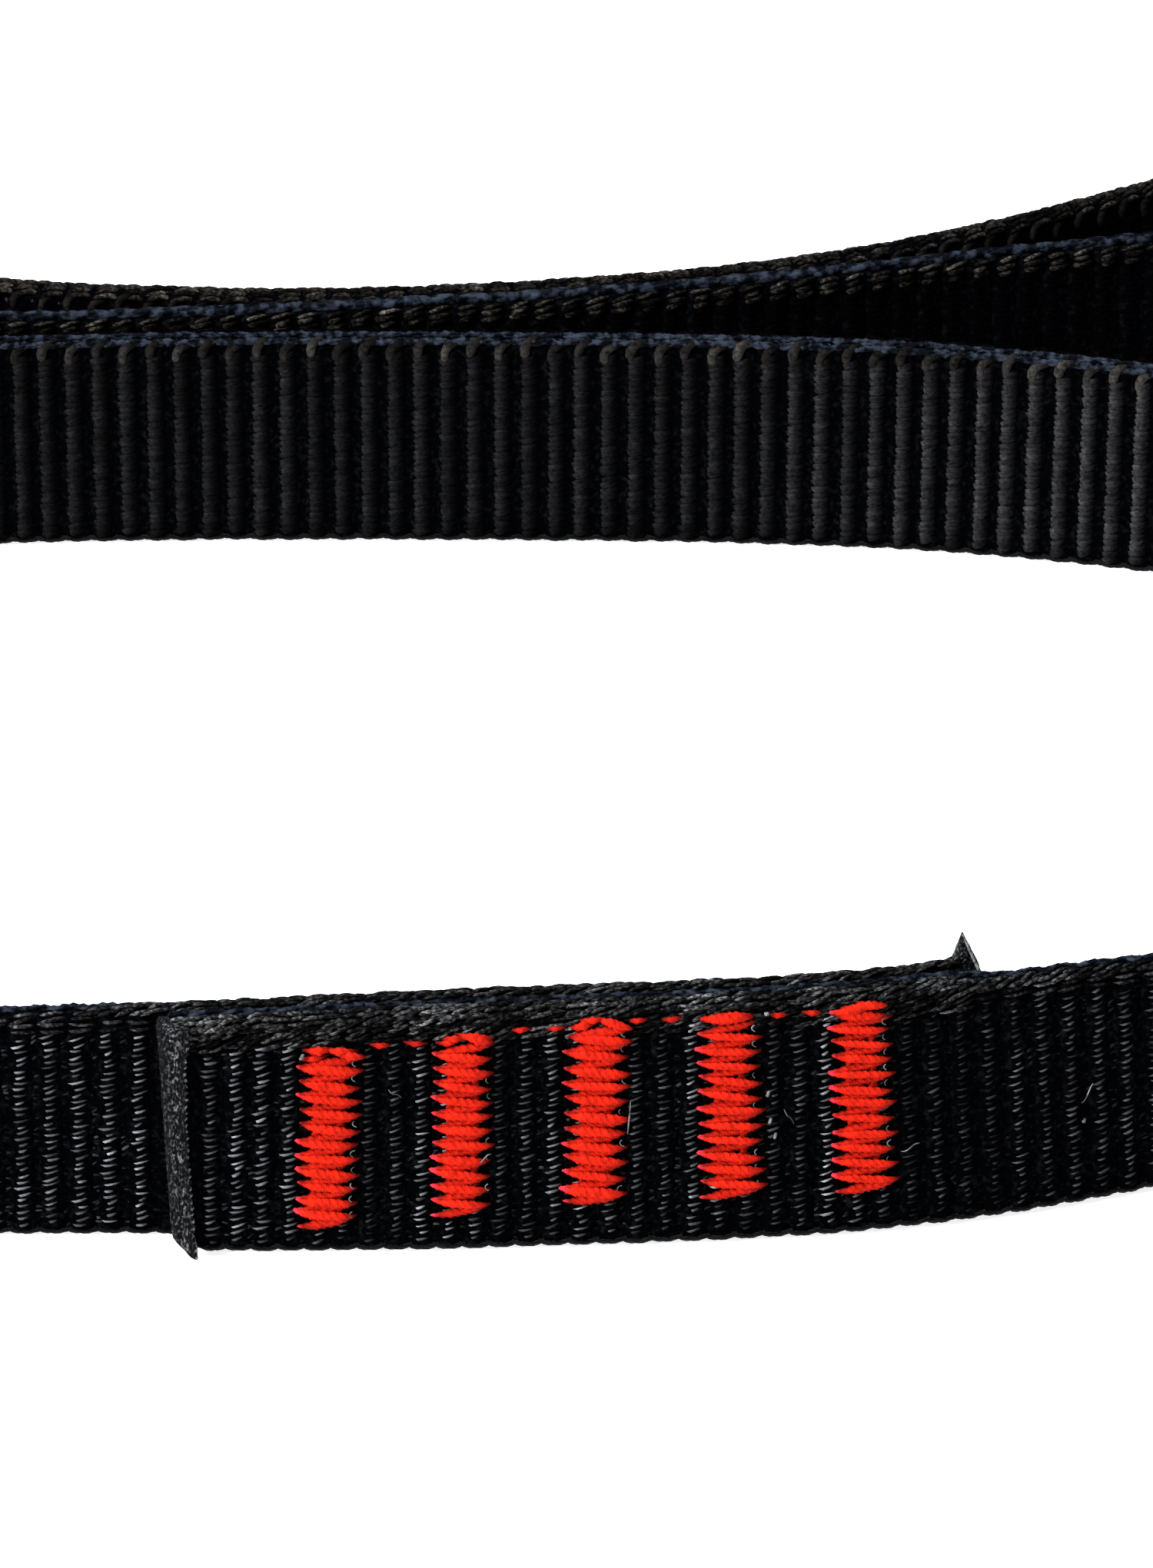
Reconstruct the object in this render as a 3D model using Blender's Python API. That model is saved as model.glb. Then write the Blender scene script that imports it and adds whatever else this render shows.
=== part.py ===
"""Climbing sling: one flat woven strap, lapped on itself and sewn into a loop by bar tacks.

The sling stands on the strap's edge, folded so that four strands lie between its turns.
Units are metres, +Z is up, and the origin is under the middle of the lay on the ground.
Along the strap, "out" is the side that faces away from the inside of the loop.
"""

import math

import bmesh
import bpy
from mathutils import Vector

# Strap
STRAP_WIDTH = 0.016
STRAP_THICKNESS = 0.00185
EDGE_ROUNDING = 0.0006
EDGE_STEPS = 2

# Heat-sealed cut ends: a bevel on the open face, and one corner pulled up by the hot knife
SEAL_LENGTH = 0.0013
SEAL_THICKNESS = 0.0013
CORNER_RISE = 0.0012
CORNER_LENGTH = 0.0024

# Lay of the loop on the ground
LOOP_LENGTH = 0.310
LOOP_DEPTH = 0.136
PLY_GAP = 0.0002
LAP_LENGTH = 0.0526
LEAN_SLOPE = 0.115
PLY_STEP = STRAP_THICKNESS + PLY_GAP

# Smoothness of the bends
SPLINE_STEPS = 32
LONGEST_FACET = 0.0075
TURN_PER_FACET = math.radians(9)

# Bar tacks, counted from the outer tail's cut end
TACK_COUNT = 5
TACK_INSET = 0.0110
TACK_PITCH = 0.00845
TACK_LENGTH = 0.0123
TACK_WIDTH = 0.0043
TACK_CROSSINGS = 24
TOOTH_LENGTH = 0.0007
THREAD_DIAMETER = 0.00048
THREAD_GAP = 0.0003
TACK_HEIGHT_SHARES = (0.505, 0.540, 0.580, 0.580, 0.573)

# Running stitches that join one tack to the next
RUNS_PER_GAP = 2
RUN_LENGTH = 0.0013
RUN_PITCH = 0.0022
RUN_DROP = 0.0002
RUN_SIDES = 8
RUN_RINGS = 4

# Each point of the lay: along LOOP_LENGTH, along LOOP_DEPTH, plies in front of it, lean
LAP_SHARES = (
    (0.426, 0.000, 0.0), (0.469, 0.000, 0.1), (0.513, -0.001, 0.5), (0.558, -0.002, 1.2), (0.597, 0.002, 1.5),
    (0.635, 0.008, 1.5), (0.668, 0.018, 1.6), (0.700, 0.040, 1.5), (0.733, 0.070, 0.3),
)
RIGHT_TURN_SHARES = (
    (0.778, 0.115, 0, 0.0), (0.836, 0.177, 0, 0.0), (0.901, 0.254, 0, 0.0), (0.951, 0.335, 0, 0.0),
    (0.965, 0.422, 0, 0.0), (0.940, 0.500, 0, 0.0), (0.894, 0.551, 0, 0.0), (0.843, 0.586, 0, -0.1),
    (0.785, 0.619, 0, -0.3),
)
FRONT_BACK_STRAND_SHARES = (
    (0.729, 0.652, 0, -0.5), (0.685, 0.674, 0, -0.6), (0.642, 0.683, 0, -0.6), (0.598, 0.686, 0, -0.6),
    (0.527, 0.688, 0, -0.6), (0.467, 0.684, 0, -0.5), (0.398, 0.673, 0, -0.3), (0.327, 0.655, 0, 0.0),
)
FOLD_SHARES = (
    (0.256, 0.640, 0.0, 0.0), (0.206, 0.643, 0.0, 0.0), (0.178, 0.672, 0.0, 0.0), (0.178, 0.722, 1.0, 0.0),
    (0.206, 0.752, 1.0, 0.0), (0.256, 0.742, 1.0, 0.0),
)
MIDDLE_BACK_STRAND_SHARES = (
    (0.327, 0.706, 1, 0.0), (0.398, 0.689, 1, 0.3), (0.467, 0.686, 1, 0.5), (0.527, 0.695, 1, 0.6),
    (0.598, 0.713, 1, 0.6), (0.642, 0.731, 1, 0.6), (0.686, 0.756, 1, 0.6), (0.731, 0.780, 1, 0.6),
)
TIP_SHARES = (
    (0.785, 0.797, 1.0, 0.4), (0.843, 0.806, 1.0, 0.0), (0.903, 0.808, 1.0, 0.0), (0.952, 0.818, 1.0, 0.0),
    (0.980, 0.858, 1.0, 0.0), (0.980, 0.923, 2.0, 0.0), (0.954, 0.961, 2.0, 0.0), (0.909, 0.976, 2.0, 0.0),
    (0.860, 0.966, 2.0, -0.2), (0.812, 0.935, 2.0, -0.4), (0.771, 0.884, 2.0, -0.6),
)
REAR_BACK_STRAND_SHARES = (
    (0.731, 0.824, 2, -0.6), (0.686, 0.768, 2, -0.6), (0.642, 0.731, 2, -0.6), (0.598, 0.713, 2, -0.6),
    (0.559, 0.703, 2, -0.6), (0.519, 0.700, 2, -0.6), (0.466, 0.712, 2, -0.5),
)
LEFT_TURN_SHARES = (
    (0.405, 0.738, 2.0, -0.2), (0.340, 0.772, 2.0, 0.0), (0.269, 0.799, 2.0, 0.0), (0.192, 0.811, 2.0, 0.0),
    (0.114, 0.794, 2.0, 0.0), (0.050, 0.731, 1.8, 0.0), (0.008, 0.610, 1.6, 0.0), (-0.002, 0.459, 1.4, 0.0),
    (0.024, 0.316, 1.2, 0.0), (0.076, 0.201, 1.0, 0.0), (0.143, 0.118, 1.0, 0.0), (0.217, 0.060, 1.0, 0.0),
    (0.292, 0.023, 1.0, 0.0), (0.362, 0.005, 1.0, 0.0),
)

# The middle of the lap lies under this share of the loop's length
LAP_MIDDLE_SHARE = 0.5958


def make_material(name, colour, roughness):
    """Plain Principled material."""
    material = bpy.data.materials.new(name)
    material.use_nodes = True
    shader = material.node_tree.nodes["Principled BSDF"]
    shader.inputs["Base Color"].default_value = (*colour, 1)
    shader.inputs["Roughness"].default_value = roughness
    shader.inputs["Metallic"].default_value = 0
    return material


def add_object(name, bm, material):
    """Turn a bmesh into a named object with its faces pointing out."""
    bmesh.ops.recalc_face_normals(bm, faces=bm.faces)
    mesh = bpy.data.meshes.new(name)
    bm.to_mesh(mesh)
    bm.free()
    mesh.materials.append(material)
    mesh.shade_smooth()
    mesh.set_sharp_from_angle(angle=math.radians(30))
    item = bpy.data.objects.new(name, mesh)
    bpy.context.scene.collection.objects.link(item)
    return item


def lay_points():
    """Control points of the lay in metres, from the outer tail to the inner tail, each with its lean."""
    outer_lap = [(along, deep, 0, lean) for along, deep, lean in LAP_SHARES]
    inner_lap = [(along, deep, 1, lean) for along, deep, lean in LAP_SHARES]
    shares = [
        *outer_lap, *RIGHT_TURN_SHARES, *FRONT_BACK_STRAND_SHARES, *FOLD_SHARES, *MIDDLE_BACK_STRAND_SHARES,
        *TIP_SHARES, *REAR_BACK_STRAND_SHARES, *LEFT_TURN_SHARES, *inner_lap,
    ]
    return [
        Vector((LOOP_LENGTH * along, LOOP_DEPTH * deep + PLY_STEP * plies, LEAN_SLOPE * lean))
        for along, deep, plies, lean in shares
    ]


def smooth_line(points):
    """Cubic B-spline through the lay, whose curvature has no steps."""
    line = []
    for first, second, third, fourth in zip(points, points[1:], points[2:], points[3:]):
        for step in range(SPLINE_STEPS):
            t = step / SPLINE_STEPS
            u = 1 - t
            line.append(
                first * (u ** 3 / 6)
                + second * ((3 * t ** 3 - 6 * t ** 2 + 4) / 6)
                + third * ((3 * u ** 3 - 6 * u ** 2 + 4) / 6)
                + fourth * (t ** 3 / 6)
            )
    return line


def ground_distance(a, b):
    """Distance between two line points, leaving out their lean."""
    return math.hypot(b.x - a.x, b.y - a.y)


def cut_tail(line):
    """Cut the start of the line back to half a lap from the lap's middle."""
    lap_middle = LOOP_LENGTH * LAP_MIDDLE_SHARE
    starts_left = line[0].x < lap_middle
    middle = next(i for i, point in enumerate(line) if (point.x < lap_middle) != starts_left)
    left_over = LAP_LENGTH / 2
    for i in range(middle, 0, -1):
        length = ground_distance(line[i], line[i - 1])
        if length >= left_over:
            return [line[i].lerp(line[i - 1], left_over / length), *line[i:]]
        left_over -= length
    return line


def lay_line():
    """The strap's centre line with both tails cut to the lap, centred over the origin."""
    line = cut_tail(smooth_line(lay_points()))
    line = cut_tail(line[::-1])[::-1]
    along = [point.x for point in line]
    deep = [point.y for point in line]
    middle = Vector(((min(along) + max(along)) / 2, (min(deep) + max(deep)) / 2, 0))
    return [point - middle for point in line]


class Lay:
    """The centre line measured along its length."""

    def __init__(self):
        self.line = lay_line()
        self.along = [0.0]
        for a, b in zip(self.line, self.line[1:]):
            self.along.append(self.along[-1] + ground_distance(a, b))
        self.length = self.along[-1]

    def point(self, distance):
        """Point of the line and the run that it lies on, at a distance from the outer tail's end."""
        run = 0
        while run < len(self.line) - 2 and self.along[run + 1] < distance:
            run += 1
        share = (distance - self.along[run]) / (self.along[run + 1] - self.along[run])
        return self.line[run].lerp(self.line[run + 1], share), run

    def frame(self, distance):
        """Foot of the strap's middle plane, its direction, its outward side and its leaning upright."""
        place, run = self.point(distance)
        before = self.line[max(run - 1, 0)]
        after = self.line[min(run + 2, len(self.line) - 1)]
        forward = Vector((after.x - before.x, after.y - before.y, 0)).normalized()
        out = Vector((forward.y, -forward.x, 0))
        upright = (Vector((0, 0, 1)) - out * place.z).normalized()
        out = forward.cross(upright)
        lift = (STRAP_THICKNESS / 2 - EDGE_ROUNDING) * abs(out.z)
        return Vector((place.x, place.y, lift)), forward, out, upright

    def stations(self):
        """Distances of the cross-sections: closer where the strap bends, and at the sealed ends."""
        marks = [0.0, SEAL_LENGTH]
        direction = self.frame(SEAL_LENGTH)[1]
        for distance in self.along:
            if not SEAL_LENGTH < distance < self.length - CORNER_LENGTH:
                continue
            heading = self.frame(distance)[1]
            if direction.angle(heading) > TURN_PER_FACET or distance - marks[-1] > LONGEST_FACET:
                marks.append(distance)
                direction = heading
        return [*marks, self.length - CORNER_LENGTH, self.length - SEAL_LENGTH, self.length]


def strap_section(out_side, in_side, top):
    """Rounded outline of the strap's cross-section, as pairs of outward place and height."""
    corners = (
        (out_side - EDGE_ROUNDING, EDGE_ROUNDING, -90),
        (out_side - EDGE_ROUNDING, top - EDGE_ROUNDING, 0),
        (in_side + EDGE_ROUNDING, top - EDGE_ROUNDING, 90),
        (in_side + EDGE_ROUNDING, EDGE_ROUNDING, 180),
    )
    outline = []
    for side, height, start in corners:
        for step in range(EDGE_STEPS + 1):
            turn = math.radians(start + 90 * step / EDGE_STEPS)
            outline.append((side + EDGE_ROUNDING * math.cos(turn), height + EDGE_ROUNDING * math.sin(turn)))
    return outline


def section_at(lay, distance):
    """Cross-section of the strap, with each tail bevelled on its open face near its cut."""
    half = STRAP_THICKNESS / 2
    bevel = STRAP_THICKNESS - SEAL_THICKNESS
    left_over = lay.length - distance
    outer_side = half - bevel * max(0, 1 - distance / SEAL_LENGTH)
    inner_side = -half + bevel * max(0, 1 - left_over / SEAL_LENGTH)
    rise = CORNER_RISE * max(0, 1 - left_over / CORNER_LENGTH) ** 2
    return strap_section(outer_side, inner_side, STRAP_WIDTH + rise)


def skin_rings(bm, rings):
    """Close a row of rings into one solid."""
    for ring, following in zip(rings, rings[1:]):
        for i, corner in enumerate(ring):
            bm.faces.new((corner, ring[i - 1], following[i - 1], following[i]))
    bm.faces.new(rings[0])
    bm.faces.new(reversed(rings[-1]))


def make_strap(lay, material):
    """The whole strap in one piece, tail to tail."""
    bm = bmesh.new()
    rings = []
    for distance in lay.stations():
        foot, _, out, upright = lay.frame(distance)
        outline = section_at(lay, distance)
        rings.append([bm.verts.new(foot + out * side + upright * height) for side, height in outline])
    skin_rings(bm, rings)
    return add_object("strap", bm, material)


def thread_frame(lay, distance, height, on_back):
    """Where thread lies on the lap: a place on the sewn face, along, up and away from the face."""
    foot, forward, out, upright = lay.frame(distance)
    seat = STRAP_THICKNESS / 2 + THREAD_GAP
    place = foot + upright * height
    if on_back:
        return place - out * (PLY_STEP + seat), forward, upright, -out
    return place + out * seat, forward, upright, out


def one_side(tips, notches, parity):
    """Feet of the tips and notches in turn up one side of a tack."""
    return [(tips if k % 2 == parity else notches)[k][1] for k in range(len(tips))]


def make_tack(lay, name, distance, height, on_back, material):
    """One bar tack: a zigzag of thread crossings, fused into a pleated bar with teeth on both sides.

    Each crossing is a ridge from one tooth's tip to the next on the other side. Where two
    crossings part, a valley runs from their shared tip to a notch between the opposite teeth.
    """
    place, along, up, away = thread_frame(lay, distance, height, on_back)
    low, high = THREAD_DIAMETER / 2, THREAD_DIAMETER
    step = TACK_LENGTH / TACK_CROSSINGS
    tip = TACK_WIDTH / 2
    core = tip - TOOTH_LENGTH
    slant = step * TOOTH_LENGTH / TACK_WIDTH
    bm = bmesh.new()

    def corner(side, level, lift):
        return bm.verts.new(place + along * side + up * level + away * lift)

    sides = [-1 if k % 2 == 0 else 1 for k in range(TACK_CROSSINGS + 1)]
    levels = [step * (k - TACK_CROSSINGS / 2) for k in range(TACK_CROSSINGS + 1)]
    ends = list(zip(sides, levels))
    tips = [(corner(side * tip, level, low), corner(side * tip, level, 0)) for side, level in ends]
    notches = [(corner(-side * core, level, low), corner(-side * core, level, 0)) for side, level in ends]
    valleys = [corner(side * core, level, low) for side, level in ends]

    for k, (side, level) in enumerate(ends[:-1]):
        near = corner(side * core, level + slant, high)
        far = corner(-side * core, level + step - slant, high)
        start, end = tips[k][0], tips[k + 1][0]
        bm.faces.new((start, near, valleys[k]))
        bm.faces.new((valleys[k], near, far, notches[k][0]))
        bm.faces.new((notches[k][0], far, end))
        bm.faces.new((end, far, valleys[k + 1]))
        bm.faces.new((valleys[k + 1], far, near, notches[k + 1][0]))
        bm.faces.new((notches[k + 1][0], near, start))
        bm.faces.new((notches[k][0], tips[k + 1][0], tips[k + 1][1], notches[k][1]))
        bm.faces.new((tips[k][0], notches[k + 1][0], notches[k + 1][1], tips[k][1]))
    for row in (0, TACK_CROSSINGS):
        bm.faces.new((tips[row][0], valleys[row], notches[row][0], notches[row][1], tips[row][1]))
    bm.faces.new([*one_side(tips, notches, 0), *reversed(one_side(tips, notches, 1))])
    return add_object(name, bm, material)


def make_run(lay, name, distance, height, on_back, material):
    """One running stitch: a short bowed length of thread whose ends narrow where it dives into the strap."""
    place, along, _, away = thread_frame(lay, distance, height, on_back)
    side = along.cross(away)
    radius = THREAD_DIAMETER / 2
    turns = [math.tau * k / RUN_SIDES for k in range(RUN_SIDES)]
    bm = bmesh.new()
    rings = []
    for ring in range(RUN_RINGS):
        share = ring / (RUN_RINGS - 1)
        full = radius * (1 + math.sin(math.pi * share)) / 2
        centre = place + along * (RUN_LENGTH * (share - 1 / 2)) + away * full
        rings.append([bm.verts.new(centre + (side * math.cos(t) + away * math.sin(t)) * full) for t in turns])
    skin_rings(bm, rings)
    return add_object(name, bm, material)


def tack_distance(tack):
    """Distance of a tack's middle from the outer tail's cut end."""
    return TACK_INSET + TACK_PITCH * tack


def tack_height(tack):
    """Height of a tack's middle up the strap."""
    return STRAP_WIDTH * TACK_HEIGHT_SHARES[tack]


def make_sewing(lay, face, on_back, material):
    """The thread on one face of the lap: the tacks, and the running stitches between their tops."""
    for tack in range(TACK_COUNT):
        name = f"{face}_tack_{tack + 1}"
        make_tack(lay, name, tack_distance(tack), tack_height(tack), on_back, material)
    for gap in range(TACK_COUNT - 1):
        height = (tack_height(gap) + tack_height(gap + 1) + TACK_LENGTH) / 2 - RUN_DROP
        for run in range(RUNS_PER_GAP):
            distance = tack_distance(gap + 1 / 2) + RUN_PITCH * (run - (RUNS_PER_GAP - 1) / 2)
            make_run(lay, f"{face}_run_{gap + 1}_{run + 1}", distance, height, on_back, material)


def main():
    """Build the sling in an emptied scene."""
    for item in list(bpy.data.objects):
        bpy.data.objects.remove(item)
    lay = Lay()
    strap_black = make_material("black_polyamide_webbing", (0.012, 0.012, 0.014), 0.75)
    thread_red = make_material("red_polyamide_thread", (0.62, 0.02, 0.03), 0.55)
    make_strap(lay, strap_black)
    make_sewing(lay, "front", False, thread_red)
    make_sewing(lay, "back", True, thread_red)
    print(f"strap {lay.length:.4f} m, round the loop {lay.length - LAP_LENGTH:.4f} m")


main()
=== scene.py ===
"""Climbing sling: one strap of woven webbing, lapped and sewn into a loop with five zigzag bar tacks.

The strap is a dark body with a rib over every weft. Rows of short warp yarns lie over the ribs,
coarser yarns and a twisted cord finish its edges, and red thread is sewn through the lap.
Along the strap, "out" is the side that faces away from the inside of the loop.
"""

import math

import bpy
import numpy as np
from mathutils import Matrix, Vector


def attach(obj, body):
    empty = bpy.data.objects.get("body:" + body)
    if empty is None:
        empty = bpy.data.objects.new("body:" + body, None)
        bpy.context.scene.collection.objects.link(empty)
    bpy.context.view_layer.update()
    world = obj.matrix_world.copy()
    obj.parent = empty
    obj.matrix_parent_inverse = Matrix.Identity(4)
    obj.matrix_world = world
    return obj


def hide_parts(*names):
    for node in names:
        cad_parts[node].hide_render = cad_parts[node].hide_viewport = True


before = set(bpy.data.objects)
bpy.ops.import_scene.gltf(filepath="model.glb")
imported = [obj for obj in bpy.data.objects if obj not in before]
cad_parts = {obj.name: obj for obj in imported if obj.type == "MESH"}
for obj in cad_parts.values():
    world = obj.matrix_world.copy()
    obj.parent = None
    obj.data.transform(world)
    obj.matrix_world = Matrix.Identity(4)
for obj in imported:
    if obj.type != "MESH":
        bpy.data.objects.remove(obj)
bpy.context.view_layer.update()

dice = np.random.default_rng(7)
MM = 0.001

# Strap
STRAP_WIDTH = 0.016
STRAP_THICKNESS = 0.00185
EDGE_ROUNDING = 0.0006
LOOP_LENGTH = 0.310
LOOP_DEPTH = 0.136
PLY_STEP = STRAP_THICKNESS + 0.0002
LAP_LENGTH = 0.0526
LEAN_SLOPE = 0.115
SPLINE_STEPS = 32
LAP_MIDDLE_SHARE = 0.5958
HALF = STRAP_THICKNESS / 2
# The inner tail's free end stands off the lap
TAIL_FREE = 0.0056
TAIL_REACH = 0.0010
# How far the outer tail's cut runs askew, and the corner that its foot lacks
CUT_SKEW = 0.00085
CUT_CORNER = 0.0009
CUT_CORNER_HEIGHT = 0.0016
CUT_REACH = 0.004
# The melted ends: how far in they reach, how thin they are there, and how much lower the inner tail's top is
MELT_REACH = 0.0012
MELT_THINNESS = 0.72
MELT_DROP = 0.0013

# Sewing
TACK_COUNT = 5
TACK_INSET = 0.0110
TACK_PITCH = 0.00845
TACK_LENGTH = 0.0123
TACK_WIDTH = 0.0043
TACK_CROSSINGS = 24
TACK_HEIGHT_SHARES = (0.505, 0.540, 0.580, 0.580, 0.573)
TACK_LEANS = (0.035, 0.020, 0.045, -0.015, -0.010)
TACK_WIDTH_SHARES = (0.94, 0.90, 0.98, 0.97, 0.98)
TACK_SHIFT = -0.0002
TACK_DROP = 0.00028
RUNS_PER_GAP = 2
RUN_LENGTH = 0.0013
RUN_PITCH = 0.0022
RUN_DROP = 0.0002
RUN_SHIFTS = (0.0, 0.0004, -0.0007, -0.0002)
THREAD_RADIUS = 0.00030
THREAD_FLATNESS = 0.62
THREAD_PLIES = 3.0
# How deep a thread dives into its needle hole, and how far from the hole it starts to
THREAD_DIVE = 0.00030
THREAD_DIVE_REACH = 0.00125

# Weave
BODY_STEPS = 8
GROOVE_DEPTH = 0.00028
GROOVE_SHARPNESS = 2.6
EDGE_GAP = 0.00022
BODY_HALF = HALF - 0.0001
YARN_BLUNTNESS = 2.2
RIB_COUNT = 673
# How far along the strap, and how many ribs lie before it
RIB_PLACES = (
    (0.00000, 0.0), (0.00339, 2.5), (0.02492, 15.5), (0.04761, 28.5), (0.06208, 36.5), (0.23967, 131.5),
    (0.31706, 172.5), (1.19284, 640.5), (1.20017, 644.5),
)
# Stretches of the top edge, from rib to rib, each with ropes of its own: "lap" and "rear" are the lap's outer and
# inner ply, "first" and "near" lie beside it, "inward" has its cords on top, "folded" adds ropes to part of "back"
STRETCHES = {
    "lap": (1, 31), "first": (31, 47), "strap": (47, 262), "inward": (262, 330), "back": (330, 613),
    "near": (613, 643), "rear": (643, 673), "folded": (390, 485),
}

# Each point of the lay: along LOOP_LENGTH, along LOOP_DEPTH, plies in front of it, lean
LAP_SHARES = (
    (0.426, 0.000, 0.0), (0.469, 0.000, 0.1), (0.513, -0.001, 0.5), (0.558, -0.002, 1.6), (0.597, 0.002, 2.0),
    (0.635, 0.008, 1.9), (0.668, 0.018, 2.1), (0.700, 0.040, 1.5), (0.733, 0.070, 0.3),
)
RIGHT_TURN_SHARES = (
    (0.778, 0.115, 0, 0.0), (0.836, 0.177, 0, 0.0), (0.901, 0.254, 0, 0.0), (0.951, 0.335, 0, 0.0),
    (0.965, 0.422, 0, 0.0), (0.940, 0.500, 0, 0.0), (0.894, 0.551, 0, 0.0), (0.843, 0.586, 0, -0.1),
    (0.785, 0.619, 0, -0.3),
)
FRONT_BACK_STRAND_SHARES = (
    (0.729, 0.652, 0, -0.5), (0.685, 0.674, 0, -0.6), (0.642, 0.683, 0, -0.6), (0.598, 0.686, 0, -0.6),
    (0.527, 0.688, 0, -0.6), (0.467, 0.684, 0, -0.5), (0.398, 0.673, 0, -0.3), (0.327, 0.655, 0, 0.0),
)
FOLD_SHARES = (
    (0.256, 0.640, 0.0, 0.0), (0.206, 0.643, 0.0, 0.0), (0.178, 0.672, 0.0, 0.0), (0.178, 0.722, 1.0, 0.0),
    (0.206, 0.752, 1.0, 0.0), (0.256, 0.742, 1.0, 0.0),
)
MIDDLE_BACK_STRAND_SHARES = (
    (0.327, 0.706, 1, 0.0), (0.398, 0.689, 1, 0.3), (0.467, 0.686, 1, 0.5), (0.527, 0.695, 1, 0.6),
    (0.598, 0.713, 1, 0.6), (0.642, 0.731, 1, 0.6), (0.686, 0.756, 1, 0.6), (0.731, 0.780, 1, 0.6),
)
TIP_SHARES = (
    (0.785, 0.797, 1.0, 0.4), (0.843, 0.806, 1.0, 0.0), (0.903, 0.808, 1.0, 0.0), (0.952, 0.818, 1.0, 0.0),
    (0.980, 0.858, 1.0, 0.0), (0.980, 0.923, 2.0, 0.0), (0.954, 0.961, 2.0, 0.0), (0.909, 0.976, 2.0, 0.0),
    (0.860, 0.966, 2.0, -0.2), (0.812, 0.935, 2.0, -0.4), (0.771, 0.884, 2.0, -0.6),
)
REAR_BACK_STRAND_SHARES = (
    (0.731, 0.824, 2, -0.6), (0.686, 0.768, 2, -0.6), (0.642, 0.731, 2, -0.6), (0.598, 0.713, 2, -0.6),
    (0.559, 0.703, 2, -0.6), (0.519, 0.700, 2, -0.6), (0.466, 0.712, 2, -0.5),
)
LEFT_TURN_SHARES = (
    (0.405, 0.738, 2.0, -0.2), (0.340, 0.772, 2.0, 0.0), (0.269, 0.799, 2.0, 0.0), (0.192, 0.811, 2.0, 0.0),
    (0.114, 0.794, 2.0, 0.0), (0.050, 0.731, 1.8, 0.0), (0.008, 0.610, 1.6, 0.0), (-0.002, 0.459, 1.4, 0.0),
    (0.024, 0.316, 1.2, 0.0), (0.076, 0.201, 1.0, 0.0), (0.143, 0.118, 1.0, 0.0), (0.217, 0.060, 1.0, 0.0),
    (0.292, 0.023, 1.0, 0.0), (0.362, 0.005, 1.0, 0.0),
)


# ---- The lay, as the part has it ----


def lay_points():
    """Control points from the outer tail to the inner tail: x, y and lean."""
    outer_lap = [(along, deep, 0, lean) for along, deep, lean in LAP_SHARES]
    inner_lap = [(along, deep, 1, lean) for along, deep, lean in LAP_SHARES]
    shares = np.array([
        *outer_lap, *RIGHT_TURN_SHARES, *FRONT_BACK_STRAND_SHARES, *FOLD_SHARES, *MIDDLE_BACK_STRAND_SHARES,
        *TIP_SHARES, *REAR_BACK_STRAND_SHARES, *LEFT_TURN_SHARES, *inner_lap,
    ])
    along, deep, plies, lean = shares.T
    return np.stack([LOOP_LENGTH * along, LOOP_DEPTH * deep + PLY_STEP * plies, LEAN_SLOPE * lean], axis=1)


def smooth_line(points):
    """Cubic B-spline through the lay."""
    t = np.arange(SPLINE_STEPS)[:, None] / SPLINE_STEPS
    u = 1 - t
    weights = (u ** 3 / 6, (3 * t ** 3 - 6 * t ** 2 + 4) / 6, (3 * u ** 3 - 6 * u ** 2 + 4) / 6, t ** 3 / 6)
    spans = [sum(w * points[i + k] for k, w in enumerate(weights)) for i in range(len(points) - 3)]
    return np.concatenate(spans)


def cut_tail(line):
    """Cut the start of the line back to half a lap from the lap's middle."""
    lap_middle = LOOP_LENGTH * LAP_MIDDLE_SHARE
    left = line[:, 0] < lap_middle
    middle = int(np.argmax(left != left[0]))
    left_over = LAP_LENGTH / 2
    for i in range(middle, 0, -1):
        length = math.dist(line[i][:2], line[i - 1][:2])
        if length >= left_over:
            cut = line[i] + (line[i - 1] - line[i]) * left_over / length
            return np.concatenate([[cut], line[i:]])
        left_over -= length
    return line


def unit(vectors):
    """The vectors at length 1."""
    return vectors / np.linalg.norm(vectors, axis=-1, keepdims=True)


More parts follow.
